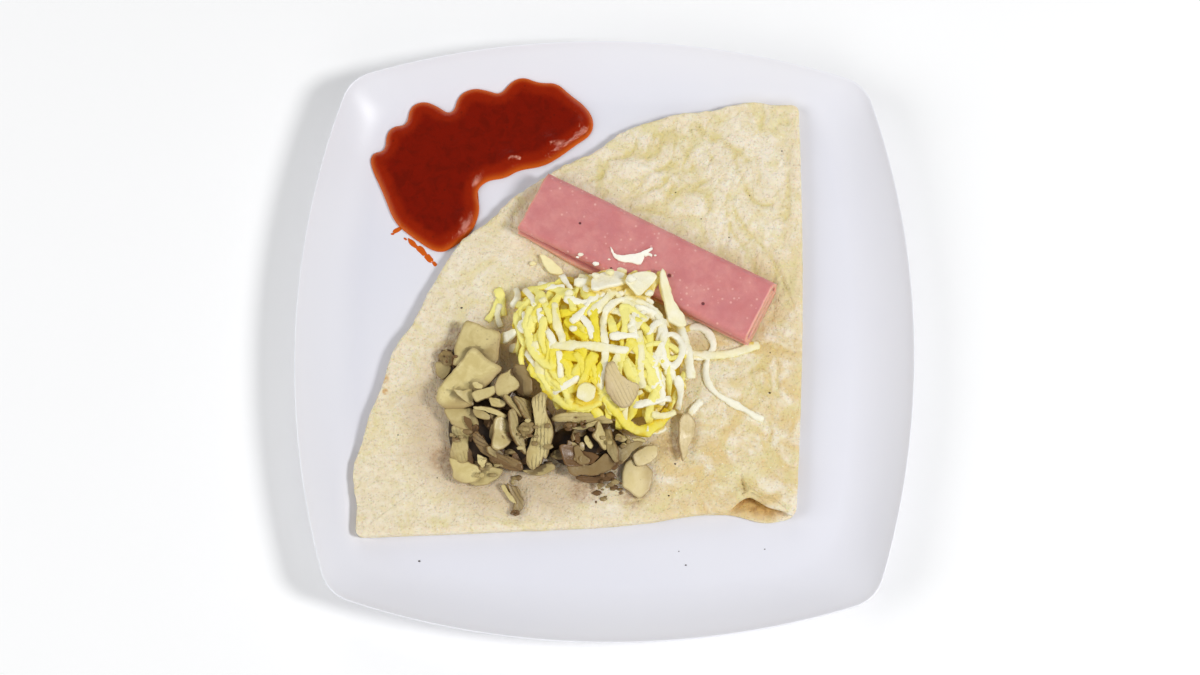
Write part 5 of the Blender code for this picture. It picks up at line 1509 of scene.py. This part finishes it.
WHITE_CRUMBS = (
    (-4, 22, 1.3), (18.5, 15, 1.4), (11, 20.5, 1.6), (-15, 14, 1.4), (-26, 11, 1.3), (-13, -2, 1.3),
    (2, 24, 1.5),
)
for batch, width, height, ways in (
    (yellow, 3.2, 1.8, YELLOW_STRANDS), (yellow, 4.2, 2.1, THICK_YELLOW),
    (white, 3.0, 1.8, WHITE_STRANDS), (white, 3.6, 2.0, THICK_WHITE), (white, 4.0, 1.9, OVER_THE_HAM),
):
    for way in ways:
        lay_strand(batch, way, width, height)
for lift, thickness, corners in WHITE_CHUNKS:
    lying(white, corners, lift, thickness=thickness, curl=0.8, on_pile=True)
lay_strand(white, TAIL, 2.6, 1.9)
lay_strand(white, ((-44.5, -3), (-40, -2.6), (-37, -1.2)), 3.6, 2.2)
lying(white, FRONT_CHUNK, -0.4, thickness=2.6, on_pile=True)
for x, y, size in WHITE_CRUMBS:
    level = pile.height(x * MM, y * MM, MM) + size * 0.3 * MM
    lump(white, (x * MM, y * MM, level), (size * 1.3, size, size * 0.7), 0.0, x)
for batch in (yellow, white):
    batch.marks["buried"] = how_buried(batch, 5)
yellow.piece("cheese_yellow_strands", yellow_finish, "cheese_yellow", "cheese")
white.piece("cheese_white_strands", white_finish, "cheese_yellow", "cheese")
print("highest of the heap:", round(pile.top.max() / MM, 1), "mm")

# %% Lay the slice on the cheese, and the bits of cheese
batch = Batch()
lying(batch, (
    (0.8, -17), (4, -15.6), (6.5, -20.5), (10, -23.5), (14.6, -25), (14.2, -29), (11.5, -33.5),
    (8, -35), (4, -32.5), (0.8, -28), (0, -22),
), 0.3, thickness=1.5, tone=0.14, gill=0.3, curl=0.8, on_pile=True)
batch.piece("mushroom_slice_on_cheese", pale_finish, "mushroom_stray", "mushroom_on_cheese")

batch = Batch()
for corners in (
    ((1.9, 36.9), (3, 35.3), (3.4, 33.8), (5, 33), (5.7, 30.6), (3.8, 31.4), (2.8, 33.8)),
    ((4.5, 33.2), (6.4, 32.6), (11, 33.1), (15.5, 34.3), (16.7, 32), (15.2, 29.2), (13.7, 28.5),
     (11, 29.5), (8, 29.7), (5, 30.4)),
    ((14.5, 33.9), (17.4, 35.5), (19.7, 36.3), (20, 35.5), (18.4, 34.2), (16.4, 32.6)),
    ((16.4, 33.6), (18.9, 34), (20.1, 33.2), (19.7, 32), (18.2, 32.8), (16.6, 32.2)),
):
    lying(batch, corners, 8.7, thickness=1.2, curl=0.1)
for x, y, size in ((-10.6, 33, 1.0), (-11.8, 31.8, 0.6), (-4, 29, 1.2), (21, 33, 0.5), (1.6, 31, 0.5)):
    lump(batch, over_crepe(x, y, 8.6), (size * 1.2, size * 0.8, size * 0.5), 0.0, x)
batch.piece("cheese_flake_on_ham", flake_finish, "cheese_white", "cheese_flake")
batch = Batch()
lying(batch, (
    (-28.2, 34.8), (-26.3, 34.8), (-23.2, 32.8), (-18.6, 28.5), (-17.8, 26.6), (-19.3, 25.4),
    (-22.4, 26.1), (-24.7, 27.7), (-27, 31.6),
), 1.3, thickness=1.9)
lump(batch, over_crepe(-31, 31, 0.9), (1.4, 1.0, 0.8), 0.0, 3)
batch.piece("cheese_grain_on_crepe", grain_finish, "cheese_white", "cheese_grain")

# %% [markdown]
# ## Tomato sauce
# The sauce was squeezed from a bottle in strokes that ran together, so its edge is a row of lobes.
# It is thick: it stands a few millimetres high with a round rim. Where it is thin at the rim light
# comes through and it is orange, and where it is deep it is dark red. The depth is stored with the
# mesh, and the colours are mixed by it.

# %% Mix the sauce's finish
sauce_finish = Finish("tomato sauce", Specular_IOR_Level=0.44, Specular_Tint=(1.0, 0.64, 0.48, 1.0))
depth = sauce_finish.mark("depth")
pulp = sauce_finish.cloud(4.5, 4, 0.6, 0.6)
seeds = 1 - sauce_finish.between(sauce_finish.cells(5.5), 0.05, 0.14)
red = sauce_finish.mix(sauce_finish.between(depth, 0.06, 0.84), (212, 98, 24), (154, 34, 2))
red = sauce_finish.mix(sauce_finish.between(depth, 0.66, 1.30), red, (122, 15, 0))
pulpy = sauce_finish.between(pulp, 0.40, 0.70) * sauce_finish.between(depth, 0.7, 1.3)
red = sauce_finish.mix(pulpy * 0.7, red, (100, 11, 0))
red = sauce_finish.mix(seeds * 0.4, red, (84, 14, 4))
grainy = sauce_finish.relief(sauce_finish.cloud(1.6, 3, 0.6), 0.30)
sauce_finish.wear(red, 0.04 + 0.06 * pulp, grainy)

# %% Build the puddle
SAUCE_OUTLINE = (
    (-72, 35.5), (-84, 43.5), (-92, 50), (-97, 63), (-104, 77), (-102, 82.5), (-97, 83), (-97, 91),
    (-93, 95), (-88, 95), (-87, 103), (-81, 106), (-75, 104.5), (-68, 100), (-66, 108.5), (-59, 112),
    (-52, 111), (-47, 109.5), (-43, 114.5), (-37, 117), (-30, 114.5), (-22, 115), (-16, 110),
    (-9, 105), (-5, 98), (-6.5, 91), (-13, 86.5), (-21, 80), (-28, 76), (-38, 74.5), (-44, 70.5),
    (-52, 69.5), (-56.4, 64.5), (-53.8, 57), (-57, 46.5), (-64, 40),
)
SAUCE_EDGE = (
    (0.05, 0.0), (0.0, 0.05), (0.1, 0.13), (0.35, 0.25), (0.8, 0.38), (1.35, 0.52), (2.0, 0.66),
    (2.7, 0.79), (3.4, 0.88),
)
SAUCE_HEIGHT = 3.4
SAUCE_SWELLS = ((-54, 69.5), (-42, 78), (-25, 86.5), (-11, 94), (-61, 50.5))


def sauce_swell(spot):
    """Height in mm of the thick drops where strokes of sauce ended."""
    away = [(spot / MM - Vector(drop)).length for drop in SAUCE_SWELLS]
    return sum(2.5 * math.exp(-((far / 4.4) ** 2)) for far in away)


corners = [Vector((x * MM, y * MM)) for x, y in reversed(SAUCE_OUTLINE)]
edge_line = evenly_spaced(cut_corners(corners, 3), 460)
sauce_rings, depths = [], []
ring_line, reached = edge_line, -0.4
for inset, share in SAUCE_EDGE:
    normals = inward_normals(ring_line)
    moved = [p + normal * (inset - reached) * MM for p, normal in zip(ring_line, normals)]
    earlier, later = moved[-1:] + moved[:-1], moved[1:] + moved[:1]
    ring_line = [(a + 2 * b + c) / 4 for a, b, c in zip(earlier, moved, later)]
    reached = inset
    ring = []
    for spot in ring_line:
        swell = 1 + 0.10 * rough(spot.x, spot.y, 0.013, 2.0)
        level = plate_top(spot.x, spot.y) + REST_GAP + SAUCE_HEIGHT * share * swell * MM
        ring.append(Vector((spot.x, spot.y, level)))
        depths.append(share)
    sauce_rings.append(ring)
points, faces = skin(sauce_rings, (True, False))
depths.append(0.0)
inner_ring = sauce_rings[-1]
flat = [Vector((p.x, p.y)) for p in inner_ring]
start = (len(SAUCE_EDGE) - 1) * len(inner_ring)
count = len(inner_ring)
low = Vector((min(p.x for p in flat), min(p.y for p in flat)))
high = Vector((max(p.x for p in flat), max(p.y for p in flat)))
inside = []
step = 1.3 * MM
for i in range(int((high.x - low.x) / step)):
    for j in range(int((high.y - low.y) / step)):
        spot = Vector((low.x + (i + 0.5 * (j % 2)) * step, low.y + j * step))
        if min((spot - p).length for p in flat) > 0.9 * MM:
            inside.append(spot)
rim_edges = [(k, (k + 1) % count) for k in range(count)]
filled = geometry.delaunay_2d_cdt(flat + inside, rim_edges, [], 1, 1e-7)
spots, triangles, origins = filled[0], filled[2], filled[3]
number = {}
for k, spot in enumerate(spots):
    first = origins[k][0] if origins[k] else count
    if first < count:
        number[k] = start + first
        continue
    number[k] = len(points)
    gap = min((spot - p).length for p in flat)
    share = 0.88 + 0.14 * (1 - (1 - min(gap / (5 * MM), 1.0)) ** 2)
    bumps = 0.32 * rough(spot.x, spot.y, 0.008, 4.0) + 0.16 * rough(spot.x, spot.y, 0.003, 7.0)
    bumps = (bumps + sauce_swell(spot)) * smooth_step(0, 3 * MM, gap)
    swell = 1 + 0.10 * rough(spot.x, spot.y, 0.013, 2.0)
    depth_here = (SAUCE_HEIGHT * share * swell + bumps) * MM
    points.append((spot.x, spot.y, plate_top(spot.x, spot.y) + REST_GAP + depth_here))
    depths.append(0.85 + 0.55 * smooth_step(0, 6.5 * MM, gap))
faces += [[number[k] for k in triangle] for triangle in triangles]
sauce = Batch().add(points, faces, depth=depths)


def smear(x, y, radii, heading, tall):
    """A thin splash of sauce on the plate, in mm."""
    rings, marks = [], []
    for level in range(6):
        lift, spread = math.sin(math.pi / 2 * level / 6), math.cos(math.pi / 2 * level / 6)
        ring = []
        for k in range(26):
            turn = 2 * math.pi * k / 26
            spot = Vector((radii[0] * math.cos(turn), radii[1] * math.sin(turn))) * spread
            spot *= 1 + 0.3 * noise.noise(Vector((math.cos(turn) * 1.5, math.sin(turn) * 1.5, x)))
            spot = Vector((x, y)) + turned(spot, heading)
            px, py = spot.x * MM, spot.y * MM
            ring.append((px, py, plate_top(px, py) + (0.05 + tall * lift) * MM))
            marks.append(0.26 * lift)
        rings.append(ring)
    sauce.add(*skin(rings), depth=marks + [0.0, 0.26])


for spec in (
    (-90.2, 47.2, (2.4, 1.0), 0.6, 0.35), (-92.2, 45.4, (0.8, 0.5), 0.2, 0.25),
    (-83.4, 41.4, (3.2, 1.1), -0.75, 0.3), (-79.4, 37.9, (3.0, 1.3), -0.8, 0.3),
    (-76.2, 34.6, (2.6, 1.3), -0.8, 0.4), (-73.6, 32.2, (1.3, 0.8), -0.9, 0.3),
    (-86.6, 43.2, (0.9, 0.5), -0.6, 0.25),
):
    smear(*spec)
sauce.piece("sauce_puddle", sauce_finish, "tomato_sauce", "sauce")

# %% [markdown]
# ## Specks of pepper
# A few dark grains lie on the crepe and on the plate. They are real little bodies, so that they stay
# with the dish from every side.

# %% Scatter the pepper
pepper_finish = Finish("pepper")
husk = pepper_finish.cloud(0.5, 2)
dark = pepper_finish.mix(husk, (26, 22, 20), (78, 62, 44))
pepper_finish.wear(dark, 0.6 + 0.2 * husk, pepper_finish.relief(husk, 0.1))
SPECKS_ON_CREPE = (
    (-61, 11.4, 0.5), (69.6, -24.4, 0.5), (30, -55, 0.45), (27.4, -68.4, 0.4), (70, -7, 0.3),
    (53, 44, 0.35), (41, 52, 0.3), (62, 63, 0.3), (-86, -44, 0.3), (-69, -62, 0.3), (57, 15, 0.3),
    (30, 64, 0.35), (76, 83, 0.35),
)
SPECKS_ON_PLATE = (
    (-75.8, -96.1, 0.5), (31.8, -90.8, 0.3), (34.7, -96.5, 0.4), (67.5, -89.5, 0.3),
)
pepper = Batch()
for x, y, size in SPECKS_ON_CREPE:
    spot = over_crepe(x, y, 0.1 + wrinkles(x * MM, y * MM) * wrinkled(x * MM, y * MM))
    lump(pepper, spot, (size, size * 0.8, size * 0.5), 0, x, 7, 4)
for x, y, size in SPECKS_ON_PLATE:
    spot = (x * MM, y * MM, plate_top(x * MM, y * MM) + 0.15 * MM)
    lump(pepper, spot, (size, size * 0.7, size * 0.45), 0, x, 7, 4)
pepper.piece("pepper_specks", pepper_finish, "mushroom_flesh")

# %% [markdown]
# ## Floor, light and camera
# The dish stands on a plain white table. One lamp at the right gives the shape its shadows, which
# fall to the left. Three large soft lamps, which don't show in reflections, and a pale sky fill
# them. The camera looks down steeply, as in the photograph, from 80 centimetres away.

# %% Set the floor and the light
floor_mesh = bpy.data.meshes.new("floor")
floor_mesh.from_pydata([(-3, -3, 0), (3, -3, 0), (3, 3, 0), (-3, 3, 0)], [], [(0, 1, 2, 3)])
floor = bpy.data.objects.new("floor", floor_mesh)
bpy.context.scene.collection.objects.link(floor)
floor_finish = Finish("floor", Roughness=0.9)
paper = floor_finish.cloud(40, 2)
floor_finish.wear(floor_finish.mix(paper, (254, 254, 254), (255, 255, 255)))
floor_mesh.materials.append(floor_finish.material)
floor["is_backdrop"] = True

TARGET = Vector((-0.00192, -0.00328, 0.0210))
CAMERA_DISTANCE, CAMERA_LENS = 0.8, 57.3
CAMERA_ELEVATION, CAMERA_AZIMUTH = math.radians(76.07), math.radians(0.65)


def lamp(name, place, size, watts, reflected):
    light = bpy.data.lights.new(name, "AREA")
    light.shape = "DISK"
    light.size, light.energy = size, watts
    holder = bpy.data.objects.new(name, light)
    holder.location = place
    holder.visible_glossy = reflected
    holder.rotation_euler = (TARGET - Vector(place)).to_track_quat("-Z", "Y").to_euler()
    bpy.context.scene.collection.objects.link(holder)


lamp("window", (1.05, -0.25, 1.15), 0.40, 13.9, True)
lamp("left fill", (-1.30, -0.25, 0.95), 1.2, 11.6, False)
lamp("back fill", (-0.35, 1.35, 0.95), 1.2, 5.1, False)
lamp("front fill", (0.25, -1.35, 0.95), 1.2, 4.6, False)
world = bpy.data.worlds.new("sky")
bpy.context.scene.world = world
world.use_nodes = True
sky = world.node_tree.nodes["Background"]
sky.inputs["Color"].default_value = (0.95, 0.97, 1.0, 1.0)
sky.inputs["Strength"].default_value = 0.20

# %% Place the camera
sin_up, cos_up = math.sin(CAMERA_ELEVATION), math.cos(CAMERA_ELEVATION)
sin_round, cos_round = math.sin(CAMERA_AZIMUTH), math.cos(CAMERA_AZIMUTH)
back = Vector((sin_round * cos_up, -cos_round * cos_up, sin_up))
right = Vector((cos_round, sin_round, 0))
lens = bpy.data.cameras.new("camera")
lens.lens, lens.sensor_width = CAMERA_LENS, 36
camera = bpy.data.objects.new("camera", lens)
turn = Matrix((right, back.cross(right), back)).transposed().to_4x4()
camera.matrix_world = Matrix.Translation(TARGET + back * CAMERA_DISTANCE) @ turn
bpy.context.scene.collection.objects.link(camera)
bpy.context.scene.camera = camera
bpy.context.scene.view_settings.view_transform = "Standard"

# %% Compare the dressed dish with the solid one
dressed_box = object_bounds()
for name, box in (("solid", solid_box), ("dressed", dressed_box)):
    print(name, [[round(c / MM, 2) for c in corner] for corner in box], "mm")
